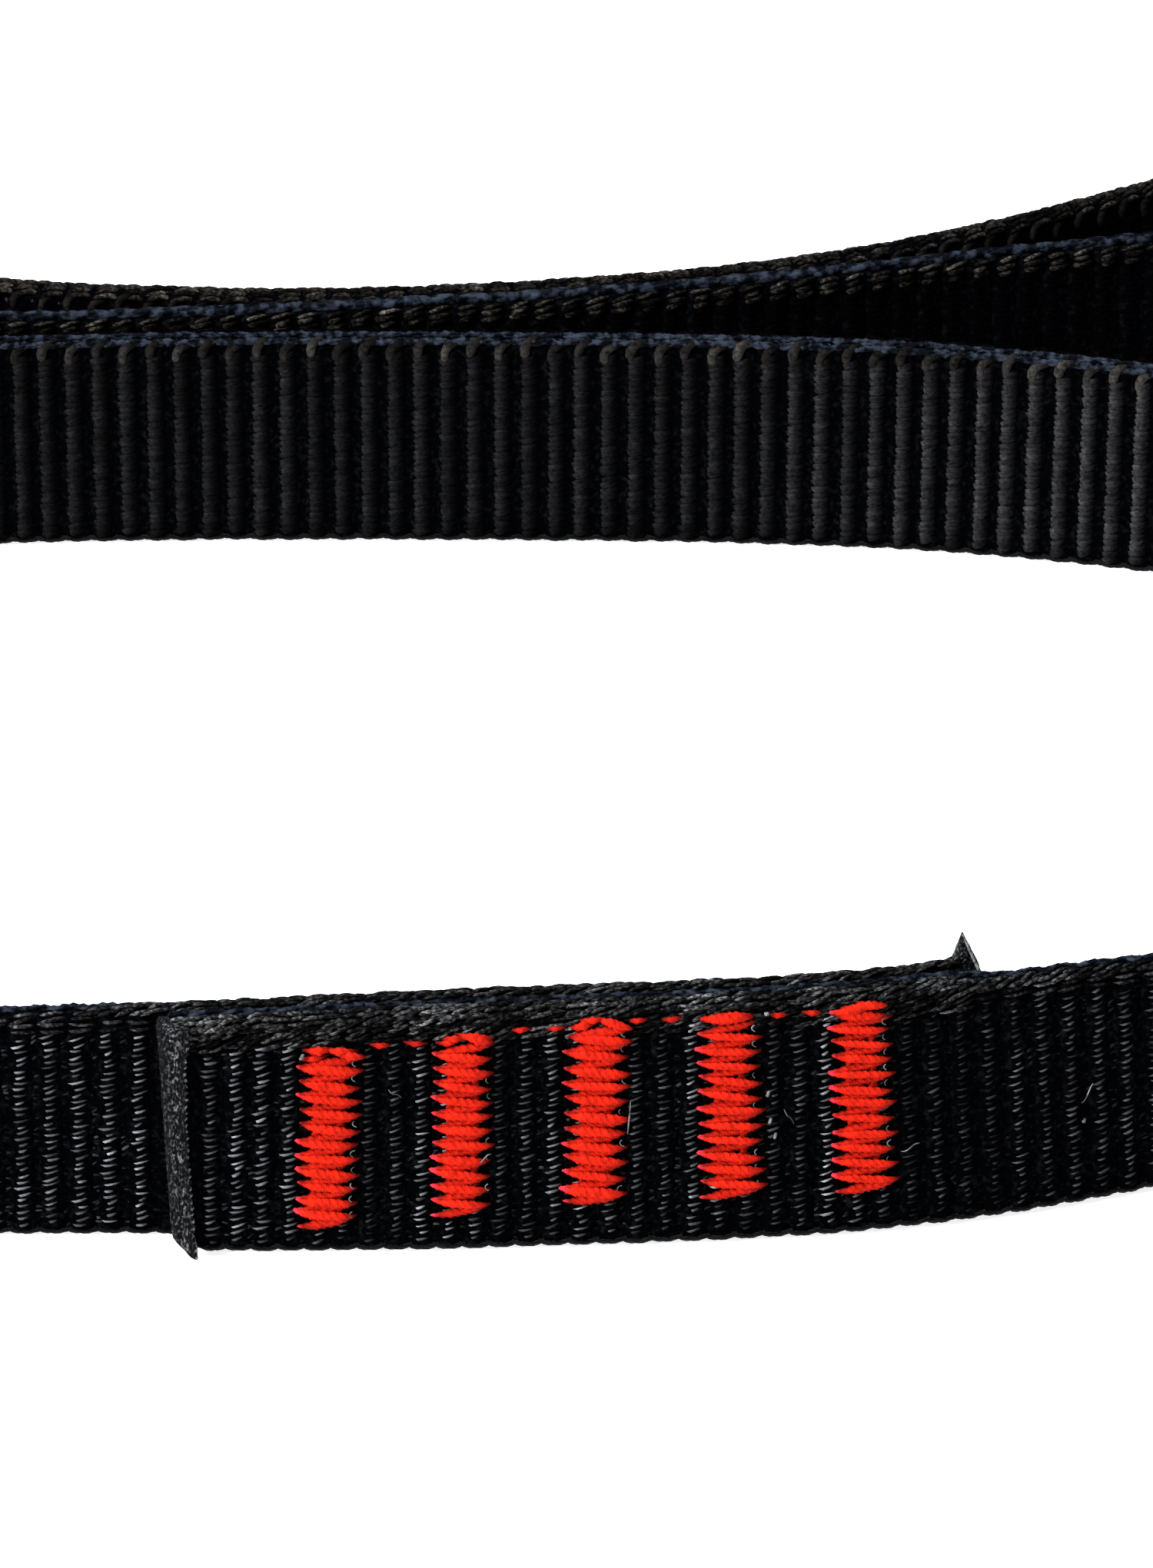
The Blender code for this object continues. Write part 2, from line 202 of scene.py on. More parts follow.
class Lay:
    """The strap's centre line, measured from the outer tail's cut end."""

    def __init__(self):
        line = cut_tail(smooth_line(lay_points()))
        line = cut_tail(line[::-1])[::-1]
        line[:, :2] -= (line[:, :2].min(axis=0) + line[:, :2].max(axis=0)) / 2
        self.line = line
        steps = np.linalg.norm(np.diff(line[:, :2], axis=0), axis=1)
        self.along = np.concatenate([[0], np.cumsum(steps)])
        self.length = self.along[-1]
        self.heading = unit(np.gradient(line[:, :2], self.along, axis=0))

    def frames(self, distances):
        """Foot of the middle plane, direction along, outward side and leaning upright, at each distance."""
        distances = np.asarray(distances, float)
        inside = np.clip(distances, 0, self.length)
        x, y, lean = (np.interp(inside, self.along, column) for column in self.line.T)
        fx, fy = (np.interp(inside, self.along, column) for column in self.heading.T)
        none = np.zeros_like(x)
        forward = unit(np.stack([fx, fy, none], axis=-1))
        level_out = np.stack([forward[..., 1], -forward[..., 0], none], axis=-1)
        upright = unit(np.array([0.0, 0.0, 1.0]) - level_out * lean[..., None])
        out = np.cross(forward, upright)
        foot = np.stack([x, y, (HALF - EDGE_ROUNDING) * np.abs(out[..., 2])], axis=-1)
        standing_off = TAIL_REACH * np.clip(1 - (self.length - distances) / TAIL_FREE, 0, 1.1) ** 2
        foot = foot - out * standing_off[..., None]
        return foot + forward * (distances - inside)[..., None], forward, out, upright

    def places(self, distances, sides, heights):
        """Points at these distances along, sides out of the middle plane and heights up the strap."""
        foot, _, out, upright = self.frames(distances)
        sides, heights = (np.broadcast_to(np.asarray(v, float), foot.shape[:-1]) for v in (sides, heights))
        return foot + out * sides[..., None] + upright * heights[..., None]


lay = Lay()


def distance_of(phase):
    """Distance along the strap of a place counted in ribs."""
    distances, ribs = np.array([*RIB_PLACES, (lay.length, RIB_COUNT)]).T
    return np.interp(phase, ribs, distances)


# ---- Node trees ----


class Wire:
    """An output socket that can be used in sums."""

    def __init__(self, bench, socket):
        self.bench = bench
        self.socket = socket

    def maths(self, operation, *others):
        """A Math node on this output."""
        return self.bench.node("ShaderNodeMath", {"operation": operation}, dict(enumerate((self, *others))))

    def other(self, name):
        """Another output of the same node."""
        return Wire(self.bench, self.socket.node.outputs[name])

    def __add__(self, value):
        return self.maths("ADD", value)

    def __mul__(self, value):
        return self.maths("MULTIPLY", value)

    def __truediv__(self, value):
        return self.maths("DIVIDE", value)

    def __pow__(self, value):
        return self.maths("POWER", value)

    __radd__ = __add__
    __rmul__ = __mul__


class Bench:
    """Builds nodes in one tree."""

    def __init__(self, tree):
        self.tree = tree

    def node(self, kind, settings=(), sockets=(), out=0):
        """A node of this kind with its settings and its sockets' values or links; returns one output."""
        node = self.tree.nodes.new(kind)
        for name, value in dict(settings).items():
            setattr(node, name, value)
        for name, value in dict(sockets).items():
            if isinstance(value, Wire):
                self.tree.links.new(value.socket, node.inputs[name])
            else:
                node.inputs[name].default_value = value
        return Wire(self, node.outputs[out]) if node.outputs else node

    def scaled(self, vector, amount):
        """A vector times a number."""
        return self.node("ShaderNodeVectorMath", {"operation": "SCALE"}, {0: vector, "Scale": amount})

    def summed(self, *vectors):
        """Vectors added up."""
        total = vectors[0]
        for vector in vectors[1:]:
            total = self.node("ShaderNodeVectorMath", {"operation": "ADD"}, {0: total, 1: vector})
        return total

    def mixed(self, share, first, second):
        """Two colours mixed."""
        return self.node("ShaderNodeMix", {"data_type": "RGBA"}, {0: share, 6: first, 7: second}, out=2)

    def in_range(self, wire, low, high, first, last):
        """A value's range brought to another, and kept there."""
        sockets = {0: wire, 1: low, 2: high, 3: first, 4: last}
        return self.node("ShaderNodeMapRange", {"clamp": True}, sockets)

    def drawn(self, low, high, seed):
        """A random number for each element."""
        sockets = {2: low, 3: high, "Seed": seed}
        return self.node("FunctionNodeRandomValue", {"data_type": "FLOAT"}, sockets, out=1)

    def named(self, name, kind="FLOAT"):
        """An attribute that the geometry carries."""
        return self.node("GeometryNodeInputNamedAttribute", {"data_type": kind}, {"Name": name})

    def stored(self, geometry, name, value):
        """The geometry with a number stored on its points."""
        sockets = {"Geometry": geometry, "Name": name, "Value": value}
        return self.node("GeometryNodeStoreNamedAttribute", {}, sockets)

    def carried(self, name):
        """A number that the mesh carries for its finish."""
        return self.node("ShaderNodeAttribute", {"attribute_name": name}, out="Fac")

    def rough(self, strength, height, distance=0.0001):
        """The normal of an uneven surface."""
        return self.node("ShaderNodeBump", {}, {"Strength": strength, "Distance": distance, "Height": height})


def make_tree(name, inputs):
    """An empty geometry tree with named inputs: its bench, and each input's wire."""
    tree = bpy.data.node_groups.new(name, "GeometryNodeTree")
    tree.interface.new_socket("Geometry", in_out="OUTPUT", socket_type="NodeSocketGeometry")
    for label, kind in {"Geometry": "Geometry", **inputs}.items():
        tree.interface.new_socket(label, in_out="INPUT", socket_type=f"NodeSocket{kind}")
    bench = Bench(tree)
    group = tree.nodes.new("NodeGroupInput")
    return bench, {label: Wire(bench, group.outputs[label]) for label in ("Geometry", *inputs)}


def end_tree(bench, geometry, material):
    """Make the instances real, smooth and finished."""
    geometry = bench.node("GeometryNodeRealizeInstances", {}, {"Geometry": geometry})
    geometry = bench.node("GeometryNodeSetShadeSmooth", {}, {"Geometry": geometry})
    geometry = bench.node("GeometryNodeSetMaterial", {}, {"Geometry": geometry, "Material": material})
    bench.node("NodeGroupOutput", {}, {0: geometry})
    return bench.tree


def make_yarn_rows_tree():
    """Rows of one short yarn, over every rib mark, up the strap."""
    numbers = (
        "First Height", "Row Spacing", "Stagger", "Side", "Depth", "Lie", "Slant", "Slant Spread", "Height Spread",
        "Size Spread", "Along Spread", "Dimmest",
    )
    bench, given = make_tree("yarn_rows", {
        "Yarn": "Object", "Rows": "Int", **dict.fromkeys(numbers, "Float"), "Seed": "Int", "Material": "Material",
    })
    node, side = bench.node, given["Side"]
    forward, out, upright = (bench.named(name, "FLOAT_VECTOR") for name in ("forward", "out", "upright"))

    def spread(step, name):
        """A random share of this input, either way."""
        return bench.drawn(-1, 1, given["Seed"] + step) * given[name]

    marks = node("GeometryNodeMeshToPoints", {}, {"Mesh": given["Geometry"]})
    rows = node("GeometryNodeDuplicateElements", {"domain": "POINT"}, {"Geometry": marks, "Amount": given["Rows"]})
    height = given["First Height"] + rows.other("Duplicate Index") * given["Row Spacing"]
    height = height + bench.named("odd") * given["Stagger"] + spread(0, "Height Spread")
    offset = bench.summed(
        bench.scaled(upright, height), bench.scaled(out, side * given["Depth"]),
        bench.scaled(forward, spread(6, "Along Spread")),
    )
    placed = node("GeometryNodeSetPosition", {}, {"Geometry": rows, "Offset": offset})

    # Yarns are dimmer in patches, by chance, and near the strap's foot
    patches = node("ShaderNodeTexNoise", {}, {"Scale": 260.0, "Detail": 2.0})
    patches = bench.in_range(patches, 0.35, 0.62, given["Dimmest"], 1.0)
    chance = bench.drawn(given["Dimmest"], 1.15, given["Seed"] + 1)
    near_foot = bench.in_range(height, 0.0006, 0.0022, 0.45, 1.0)
    placed = bench.stored(placed, "shade", bench.named("shade") * patches * chance * chance * near_foot)

    turned = node("FunctionNodeAxesToRotation", {}, {
        "Primary Axis": bench.scaled(out, side), "Secondary Axis": bench.scaled(forward, side),
    })
    for axis, angle in (("X", given["Lie"] * -1), ("Z", given["Slant"] + spread(2, "Slant Spread"))):
        turn = node("FunctionNodeEulerToRotation", {}, {"Euler": node("ShaderNodeCombineXYZ", {}, {axis: angle})})
        turned = node("FunctionNodeRotateRotation", {"rotation_space": "LOCAL"}, {
            "Rotation": turned, "Rotate By": turn,
        })
    size = node("ShaderNodeCombineXYZ", {}, {
        "X": bench.named("size") + spread(3, "Size Spread"),
        "Y": bench.named("full") + spread(4, "Size Spread"),
        "Z": bench.named("full") + spread(5, "Size Spread"),
    })
    yarn = node("GeometryNodeObjectInfo", {}, {"Object": given["Yarn"]}, out="Geometry")
    yarns = node("GeometryNodeInstanceOnPoints", {}, {
        "Points": placed, "Instance": yarn, "Rotation": turned, "Scale": size,
    })
    return end_tree(bench, yarns, given["Material"])


def make_thread_tree():
    """Twisted thread along every path of a wire mesh."""
    bench, given = make_tree("twisted_thread", {
        "Radius": "Float", "Sides": "Int", "Plies": "Float", "Ply Depth": "Float", "Turn Length": "Float",
        "Material": "Material",
    })
    node = bench.node
    paths = node("GeometryNodeMeshToCurve", {}, {"Mesh": given["Geometry"]})
    spline = node("GeometryNodeSplineParameter")
    paths = bench.stored(paths, "reach", spline)
    paths = bench.stored(paths, "strand", node("GeometryNodeCurveOfPoint"))
    tilt = spline.other("Length") / given["Turn Length"] * math.tau
    paths = node("GeometryNodeSetCurveTilt", {}, {"Curve": paths, "Tilt": tilt})
    ring = node("GeometryNodeCurvePrimitiveCircle", {}, {"Resolution": given["Sides"], "Radius": given["Radius"]})
    share = node("GeometryNodeInputIndex") / given["Sides"]
    ring = bench.stored(ring, "around", share)
    lobes = (share * given["Plies"] * math.tau).maths("COSINE") * given["Ply Depth"]
    place = bench.scaled(node("GeometryNodeInputPosition"), 1 + lobes)
    ring = node("GeometryNodeSetPosition", {}, {"Geometry": ring, "Position": place})
    thread = node("GeometryNodeCurveToMesh", {}, {
        "Curve": paths, "Profile Curve": ring, "Scale": bench.named("thickness"), "Fill Caps": True,
    })
    return end_tree(bench, thread, given["Material"])


def run_tree(source, tree, values):
    """The plain mesh that a tree makes of an object."""
    modifier = source.modifiers.new("shape", "NODES")
    modifier.node_group = tree
    for item in tree.interface.items_tree:
        if item.in_out == "INPUT" and item.name in values:
            modifier[item.identifier] = values[item.name]
    shown = source.evaluated_get(bpy.context.evaluated_depsgraph_get())
    mesh = bpy.data.meshes.new_from_object(shown)
    source.modifiers.remove(modifier)
    return mesh


yarn_rows = make_yarn_rows_tree()
twisted_thread = make_thread_tree()


# ---- Meshes ----


def add_object(name, mesh):
    """An object that shows a mesh."""
    mesh.name = name
    item = bpy.data.objects.new(name, mesh)
    bpy.context.scene.collection.objects.link(item)
    return item


def add_piece(name, mesh):
    """A finished piece of the sling."""
    piece = add_object(name, mesh)
    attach(piece, "root")
    return piece


def read(items, field, kind=float, size=1):
    """One field of every item of a mesh."""
    found = np.empty(len(items) * size, kind)
    items.foreach_get(field, found)
    return found.reshape(-1, size) if size > 1 else found


def put_attribute(mesh, name, values):
    """Give each vertex a number or a vector that a finish or a tree reads."""
    values = np.asarray(values, np.float32)
    kind, field = ("FLOAT", "value") if values.ndim == 1 else ("FLOAT_VECTOR", "vector")
    mesh.attributes.new(name, kind, "POINT").data.foreach_set(field, values.ravel())


def add_helper(name, points, attributes, edges=(), faces=()):
    """A mesh that only feeds a node tree, with attributes on its points."""
    mesh = bpy.data.meshes.new(name)
    mesh.from_pydata(np.asarray(points).tolist(), list(edges), list(faces))
    for label, values in attributes.items():
        put_attribute(mesh, label, values)
    return add_object(name, mesh)


def face_outwards(mesh):
    """Turn a closed mesh's faces outwards."""
    mesh.calc_loop_triangles()
    corners = read(mesh.loop_triangles, "vertices", np.int32, 3)
    a, b, c = read(mesh.vertices, "co", size=3)[corners].transpose(1, 0, 2)
    if (a * np.cross(b, c)).sum() < 0:
        mesh.flip_normals()


def skin(rings, name):
    """A closed mesh over rows of points, with smooth faces that point outwards."""
    rows, columns = rings.shape[:2]
    index = np.arange(rows * columns).reshape(rows, columns)
    near, far = index[:-1], index[1:]
    quads = np.stack([near, np.roll(near, 1, axis=1), np.roll(far, 1, axis=1), far], axis=-1).reshape(-1, 4)
    mesh = bpy.data.meshes.new(name)
    mesh.from_pydata(rings.reshape(-1, 3).tolist(), [], [*quads.tolist(), index[0].tolist(), index[-1][::-1].tolist()])
    face_outwards(mesh)
    mesh.shade_smooth()
    return mesh


def put_map(mesh, places):
    """Give each corner its place on the piece's own map."""
    layer = mesh.uv_layers.new(name="OFBake")
    layer.data.foreach_set("uv", np.clip(places, 0, 1).astype(np.float32).ravel())
    layer.active = layer.active_render = True


def corner_vertices(mesh):
    """The vertex at each face corner."""
    return read(mesh.loops, "vertex_index", np.int32)


def face_ends(mesh, values):
    """For each corner, the lowest and the highest of its face's values."""
    counts = read(mesh.polygons, "loop_total", np.int32)
    first = np.cumsum(counts) - counts
    return [np.repeat(pick.reduceat(values, first), counts) for pick in (np.minimum, np.maximum)]


def cells(strands, u, v):
    """Places on the map with one cell for each strand."""
    wide = math.ceil(math.sqrt(strands.max() + 1))
    column, row = strands % wide, strands // wide
    inset = 0.06
    u, v = inset + u * (1 - 2 * inset), inset + v * (1 - 2 * inset)
    return np.stack([(column + u) / wide, (row + v) / wide], axis=1)


def map_copies(mesh, yarn):
    """Map a mesh of many copies of one yarn, each to its own cell."""
    corner = corner_vertices(yarn.data)
    places = read(yarn.data.vertices, "co", size=3)
    u = (places[:, 0] - places[:, 0].min()) / np.ptp(places[:, 0])
    v = (np.arctan2(places[:, 1], places[:, 2]) / math.tau + 0.5)[corner]
    _, high = face_ends(yarn.data, v)
    v = np.where((high > 0.75) & (v < 0.3), 1.0, v)
    copies = len(mesh.loops) // len(corner)
    strands = np.repeat(np.arange(copies), len(corner))
    put_map(mesh, cells(strands, np.tile(u[corner], copies), np.tile(v, copies)))


def map_threads(mesh):
    """Map a mesh of threads, each to its own cell: along it and around it."""
    corner = corner_vertices(mesh)
    names = ("reach", "strand", "around")
    u, strands, v = (read(mesh.attributes[name].data, "value", np.float32)[corner] for name in names)
    low, high = face_ends(mesh, v)
    v = np.where((high - low > 0.5) & (v < 0.1), 1.0, v)
    put_map(mesh, cells(np.round(strands).astype(int), u, v))
    for name in names:
        mesh.attributes.remove(mesh.attributes[name])


def make_threads(name, paths, material, radius, sides, turn, ply_depth=0.0):
    """One piece of threads along paths, each a list of points and their thickness."""
    points = np.concatenate([path for path, _ in paths])
    thickness = np.concatenate([width for _, width in paths])
    edges, start = [], 0
    for path, _ in paths:
        edges += [(start + i, start + i + 1) for i in range(len(path) - 1)]
        start += len(path)
    helper = add_helper(name + "_paths", points, {"thickness": thickness}, edges=edges)
    mesh = run_tree(helper, twisted_thread, {
        "Radius": radius, "Sides": sides, "Plies": THREAD_PLIES, "Ply Depth": ply_depth, "Turn Length": turn,
        "Material": material,
    })
    bpy.data.objects.remove(helper)
    face_outwards(mesh)
    map_threads(mesh)
    return add_piece(name, mesh)


# ---- Finishes ----


def new_finish(name, roughness, shine):
    """A material, its bench and its shader, with the constants set."""
    material = bpy.data.materials.new(name)
    material.use_nodes = True
    shader = material.node_tree.nodes["Principled BSDF"]
    shader.inputs["Roughness"].default_value = roughness
    shader.inputs["Specular IOR Level"].default_value = shine
    return material, Bench(material.node_tree), shader


def feed(bench, shader, **sockets):
    """Link wires to the shader's sockets."""
    for name, wire in sockets.items():
        bench.tree.links.new(wire.socket, shader.inputs[name.replace("_", " ")])


def grain(bench, scale, detail, stretch=(1, 1, 1)):
    """Noise on Object coordinates."""
    where = bench.node("ShaderNodeTexCoord", out="Object")
    where = bench.node("ShaderNodeMapping", {}, {"Vector": where, "Scale": stretch})
    return bench.node("ShaderNodeTexNoise", {}, {"Vector": where, "Scale": scale, "Detail": detail})


def make_body_finish():
    """The shadowed ground of the weave, with faint fibres."""
    material, bench, shader = new_finish("webbing_ground", 0.95, 0.0)
    fibres = grain(bench, 2400.0, 4.0)
    share = bench.in_range(fibres, 0.52, 0.75, 0.0, 1.0)
    colour = bench.mixed(share, (0.0005, 0.0006, 0.0009, 1), (0.0040, 0.0043, 0.0050, 1))
    feed(bench, shader, Base_Color=colour, Normal=bench.rough(0.4, fibres))
    return material


def make_yarn_finish(name, dark, light, streak_scale, contrast, sharpness, fade=(0.8, 0.15, 1.0)):
    """Filament yarn: darker and lighter by its own shade, partly painted shade, with streaks that run along each yarn.

    The fade is painted light and shade along each yarn, lit at its start and darker towards its end: where along the
    yarn it ends, how light the yarn still is there, and how fast it falls.
    """
    material, bench, shader = new_finish(name, 0.5, 0.006)
    shade = bench.carried("shade") * bench.in_range(bench.carried("reach"), -0.5, fade[0], 1.0, fade[1]) ** fade[2]
    where = bench.node("ShaderNodeUVMap", {"uv_map": "OFBake"})
    where = bench.node("ShaderNodeMapping", {}, {"Vector": where, "Scale": (*streak_scale, 1)})
    streaks = bench.node("ShaderNodeTexNoise", {}, {"Vector": where, "Scale": 1.0, "Detail": 2.0})
    mottle = grain(bench, 3800.0, 3.0)
    crumple = bench.in_range(streaks + mottle, 1 - contrast, 1 + contrast, 0.0, 1.0)
    share = bench.in_range(shade * (0.05 + crumple ** sharpness), 0.0, 1.0, 0.0, 1.0)
    feed(
        bench, shader, Base_Color=bench.mixed(share, (*dark, 1), (*light, 1)),
        Roughness=bench.in_range(mottle, 0.3, 0.7, 0.6, 0.85),
    )
    return material


def make_seal_finish():
    """Melted yarn: dark, with pale streaks, and pale specks that are painted highlights where it is glass-like."""
    material, bench, shader = new_finish("melted_end", 0.5, 0.06)
    pale = bench.carried("pale")
    streaks = bench.in_range(grain(bench, 6500.0, 3.0, (1, 1, 0.55)), 0.45, 0.65, 0.0, 1.0)
    clouds = bench.in_range(grain(bench, 1300.0, 2.0, (1, 1, 0.3)), 0.3, 0.7, 0.5, 1.2)
    # Painted highlights: pale specks where the melt is glass-like and would catch the lamps
    glass_painted_highlights = bench.in_range(pale, 1.2, 2.4, 0.0, 1.0)
    share = bench.in_range(streaks ** 2.0 * clouds * pale + glass_painted_highlights, 0.0, 1.0, 0.0, 1.0)
    feed(
        bench, shader, Base_Color=bench.mixed(share, (0.0006, 0.0007, 0.0011, 1), (0.212, 0.220, 0.237, 1)),
        Roughness=bench.in_range(streaks, 0.0, 1.0, 0.62, 0.38), Normal=bench.rough(0.7, streaks, 0.00012),
    )
    return material


def make_plain_finish(name, dark, light, roughness, shine, scale, bump=0.3, span=(0.35, 0.68)):
    """A mottled colour with a fine uneven surface."""
    material, bench, shader = new_finish(name, roughness, shine)
    mottle = grain(bench, scale, 4.0)
    feed(
        bench, shader,
        Base_Color=bench.mixed(bench.in_range(mottle, *span, 0.0, 1.0), (*dark, 1), (*light, 1)),
        Roughness=bench.in_range(mottle, 0.3, 0.7, roughness - 0.1, roughness + 0.1),
        Normal=bench.rough(bump, grain(bench, scale * 2.5, 3.0)),
    )
    return material


def make_thread_finish():
    """Red thread: painted shade makes it deeper red where it sinks between its neighbours, and a painted pink
    highlight lies on the tips towards the key lamp.
    """
    material, bench, shader = new_finish("tack_thread", 0.6, 0.05)
    mottle = bench.in_range(grain(bench, 2600.0, 4.0), 0.30, 0.60, 0.45, 1.0)
    red = bench.mixed(mottle * bench.carried("rise"), (0.10, 0.0010, 0.0006, 1), (0.66, 0.0150, 0.0040, 1))
    colour = bench.mixed(bench.carried("glint") * mottle, red, (0.80, 0.035, 0.060, 1))
    feed(bench, shader, Base_Color=colour, Normal=bench.rough(0.6, grain(bench, 6500.0, 3.0)))
    return material


# Yarns have a dark and a light colour, streaks across and along, contrast, sharpness and a fade of painted shade; the
# plain finishes a dark and a light colour, roughness, shine and the fineness of their mottling
GROUND = make_body_finish()
WARP = make_yarn_finish("warp_yarn", (0.0002, 0.0002, 0.0003), (0.285, 0.295, 0.322), (90, 420), 0.45, 1.0)
# The inner face's yarns fade further and faster: more painted shade towards each yarn's end
INNER_WARP = make_yarn_finish(
    "inner_warp_yarn", (0.0002, 0.0002, 0.0003), (0.320, 0.324, 0.360), (120, 700), 0.42, 1.25, (0.62, 0.22, 1.8),
)
LAP_EDGE = make_yarn_finish("lap_edge_yarn", (0.0003, 0.0003, 0.0004), (0.205, 0.207, 0.214), (44, 220), 0.17, 2.8)
KNUCKLE = make_yarn_finish("knuckle_yarn", (0.0006, 0.0006, 0.0006), (0.186, 0.172, 0.163), (60, 260), 0.42, 1.2)
EDGE = make_yarn_finish("edge_yarn", (0.0003, 0.0003, 0.0003), (0.166, 0.147, 0.130), (60, 200), 0.19, 2.2)
CORD = make_plain_finish(
    "selvedge_cord", (0.0003, 0.0008, 0.0022), (0.0225, 0.0295, 0.0445), 0.6, 0.03, 1500.0, span=(0.45, 0.64),
)
WEFT = make_plain_finish("weft_turn", (0.0006, 0.0006, 0.0008), (0.0040, 0.0044, 0.0046), 0.45, 0.06, 1400.0)
SEAL = make_seal_finish()
RIM = make_plain_finish("melted_rim", (0.030, 0.031, 0.033), (0.30, 0.31, 0.31), 0.5, 0.1, 2600.0, 0.9)
THREAD = make_thread_finish()
FIBRE = make_plain_finish("loose_fibre", (0.03, 0.03, 0.03), (0.22, 0.225, 0.235), 0.4, 0.1, 1500.0)


# ---- The strap's body ----


def cut_at(height):
    """How far in from the outer tail's end the cut is, at a height up the strap."""
    return CUT_SKEW * (1 - height / STRAP_WIDTH) + CUT_CORNER * np.clip(1 - height / CUT_CORNER_HEIGHT, 0, 1)


def make_body():
    """The strap as one closed sheet with a rib over each weft, and the outer tail's cut askew."""
    phase = np.arange(RIB_COUNT * BODY_STEPS + 1) / BODY_STEPS
    distance = distance_of(phase)
    across = np.abs(2 * (phase % 1) - 1)
    melted = np.minimum(distance, lay.length - distance) / MELT_REACH
    half = BODY_HALF - GROOVE_DEPTH * across ** GROOVE_SHARPNESS
    half = half * np.minimum(1, MELT_THINNESS + (1 - MELT_THINNESS) * melted)
    low = EDGE_GAP + 0.00008 * across ** 2
    high = STRAP_WIDTH - EDGE_GAP - 0.0001 * across ** 2
    high = high - MELT_DROP * np.clip(1 - (lay.length - distance) / MELT_REACH, 0, 1)
    outline = [
        (0.35 * half, low), (0.88 * half, low + 0.00008), (half, low + 0.0005), (half, high - 0.0007),
        (0.85 * half, high - 0.0002), (0.45 * half, high),
    ]
    outline += [(-side, height) for side, height in reversed(outline)]
    near = np.clip(1 - distance / CUT_REACH, 0, 1)
    rings = np.stack([
        lay.places(distance + near * cut_at(height), side, height) for side, height in outline
    ], axis=1)
    mesh = skin(rings, "webbing_body")
    corner = corner_vertices(mesh)
    row, column = corner // len(outline), corner % len(outline)
    bands = 6
    reach = row / (len(phase) - 1) * bands
    band = np.minimum(np.floor(face_ends(mesh, reach)[0]), bands - 1)
    low, high = face_ends(mesh, column)
    around = np.where((high - low > len(outline) / 2) & (column == 0), len(outline), column) / len(outline)
    put_map(mesh, np.stack([(band + 0.04 + 0.92 * around) / bands, np.clip(reach - band, 0, 1)], axis=1))
    mesh.materials.append(GROUND)
    piece = add_piece("webbing_body", mesh)
    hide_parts("strap")
    return piece


# ---- Yarns over the ribs ----


def make_yarn(name, path, wide, thick, sides, lean):
    """A short yarn round a flat path, pointed at both ends: the shape that the rows repeat."""
    path = np.array(path)
    shares = np.linspace(-1, 1, len(path))
    across = unit(np.gradient(path[:, :2], axis=0))[:, ::-1] * (-1, 1)
    turns = np.arange(sides) * math.tau / sides + math.pi / sides
    points, faces = [], []
    for share, centre, (nx, ny) in list(zip(shares, path, across))[1:-1]:
        full = math.sqrt(1 - abs(share) ** YARN_BLUNTNESS) * (1 - lean * share)
        for turn in turns:
            side = math.sin(turn) * wide * full
            points.append((centre[0] + nx * side, centre[1] + ny * side, centre[2] + math.cos(turn) * thick * full))
    points = [tuple(path[0]), *points, tuple(path[-1])]
    rows = len(path) - 2
    for i in range(sides):
        after = (i + 1) % sides
        faces.append((0, 1 + i, 1 + after))
        faces.append((len(points) - 1, 1 + (rows - 1) * sides + after, 1 + (rows - 1) * sides + i))
        for row in range(rows - 1):
            base = 1 + row * sides
            faces.append((base + i, base + sides + i, base + sides + after, base + after))
    reach = [-1.0, *np.repeat(shares[1:-1], sides), 1.0]
    yarn = add_helper(name, points, {"reach": reach}, faces=faces)
    face_outwards(yarn.data)
    return yarn


def bowed_path(length, bow, hook, stations):
    """A path along X that bends in and hooks at both ends."""
    share = np.linspace(-1, 1, stations)
    return np.stack([share * length / 2, hook * np.sin(share * math.pi * 0.8), -bow * share ** 2], axis=1)


def beside_tacks(distance):
    """Brighter yarns before a tack and dimmer ones behind it."""
    tacks = (distance - TACK_INSET) / TACK_PITCH
    reach = (tacks + 0.5) % 1 - 0.5
    tack_lightness = np.interp(reach, (-0.5, -0.36, -0.3, 0, 0.3, 0.36, 0.5), (0.55, 0.9, 1.7, 1, 0.3, 0.3, 0.55))
    return np.where((tacks > 0) & (tacks < TACK_COUNT - 0.5), tack_lightness, 1.0)


def rib_marks(name, first, last, tone, offsets=(0.5,), spread=0.03, strength=1.0):
    """Points at each rib from first to last, at the strap's foot, carrying their directions and tone."""
    phase = (np.arange(first, last)[:, None] + np.array(offsets)).ravel()
    distance = distance_of(phase + dice.uniform(-spread, spread, len(phase)))
    foot, forward, out, upright = lay.frames(distance)
    share, shade, size, full = np.array(tone).T
    shade = np.interp(distance / lay.length, share, shade) * dice.uniform(0.75, 1.25, len(phase)) * strength
    return add_helper(name, foot, {
        "forward": forward, "out": out, "upright": upright, "odd": np.floor(phase) % 2,
        "shade": shade * beside_tacks(distance),
        "size": np.interp(distance / lay.length, share, size),
        "full": np.interp(distance / lay.length, share, full),
    })


def lay_rows(name, yarn, material, ribs, tone, marks=(), **values):
    """One piece of yarn rows over a stretch of ribs, with the marks' own settings."""
    points = rib_marks(name + "_marks", *ribs, tone, **dict(marks))
    mesh = run_tree(points, yarn_rows, {
        "Yarn": yarn, "Material": material, **{label.replace("_", " "): value for label, value in values.items()},
    })
    bpy.data.objects.remove(points)
    map_copies(mesh, yarn)
    add_piece(name, mesh)
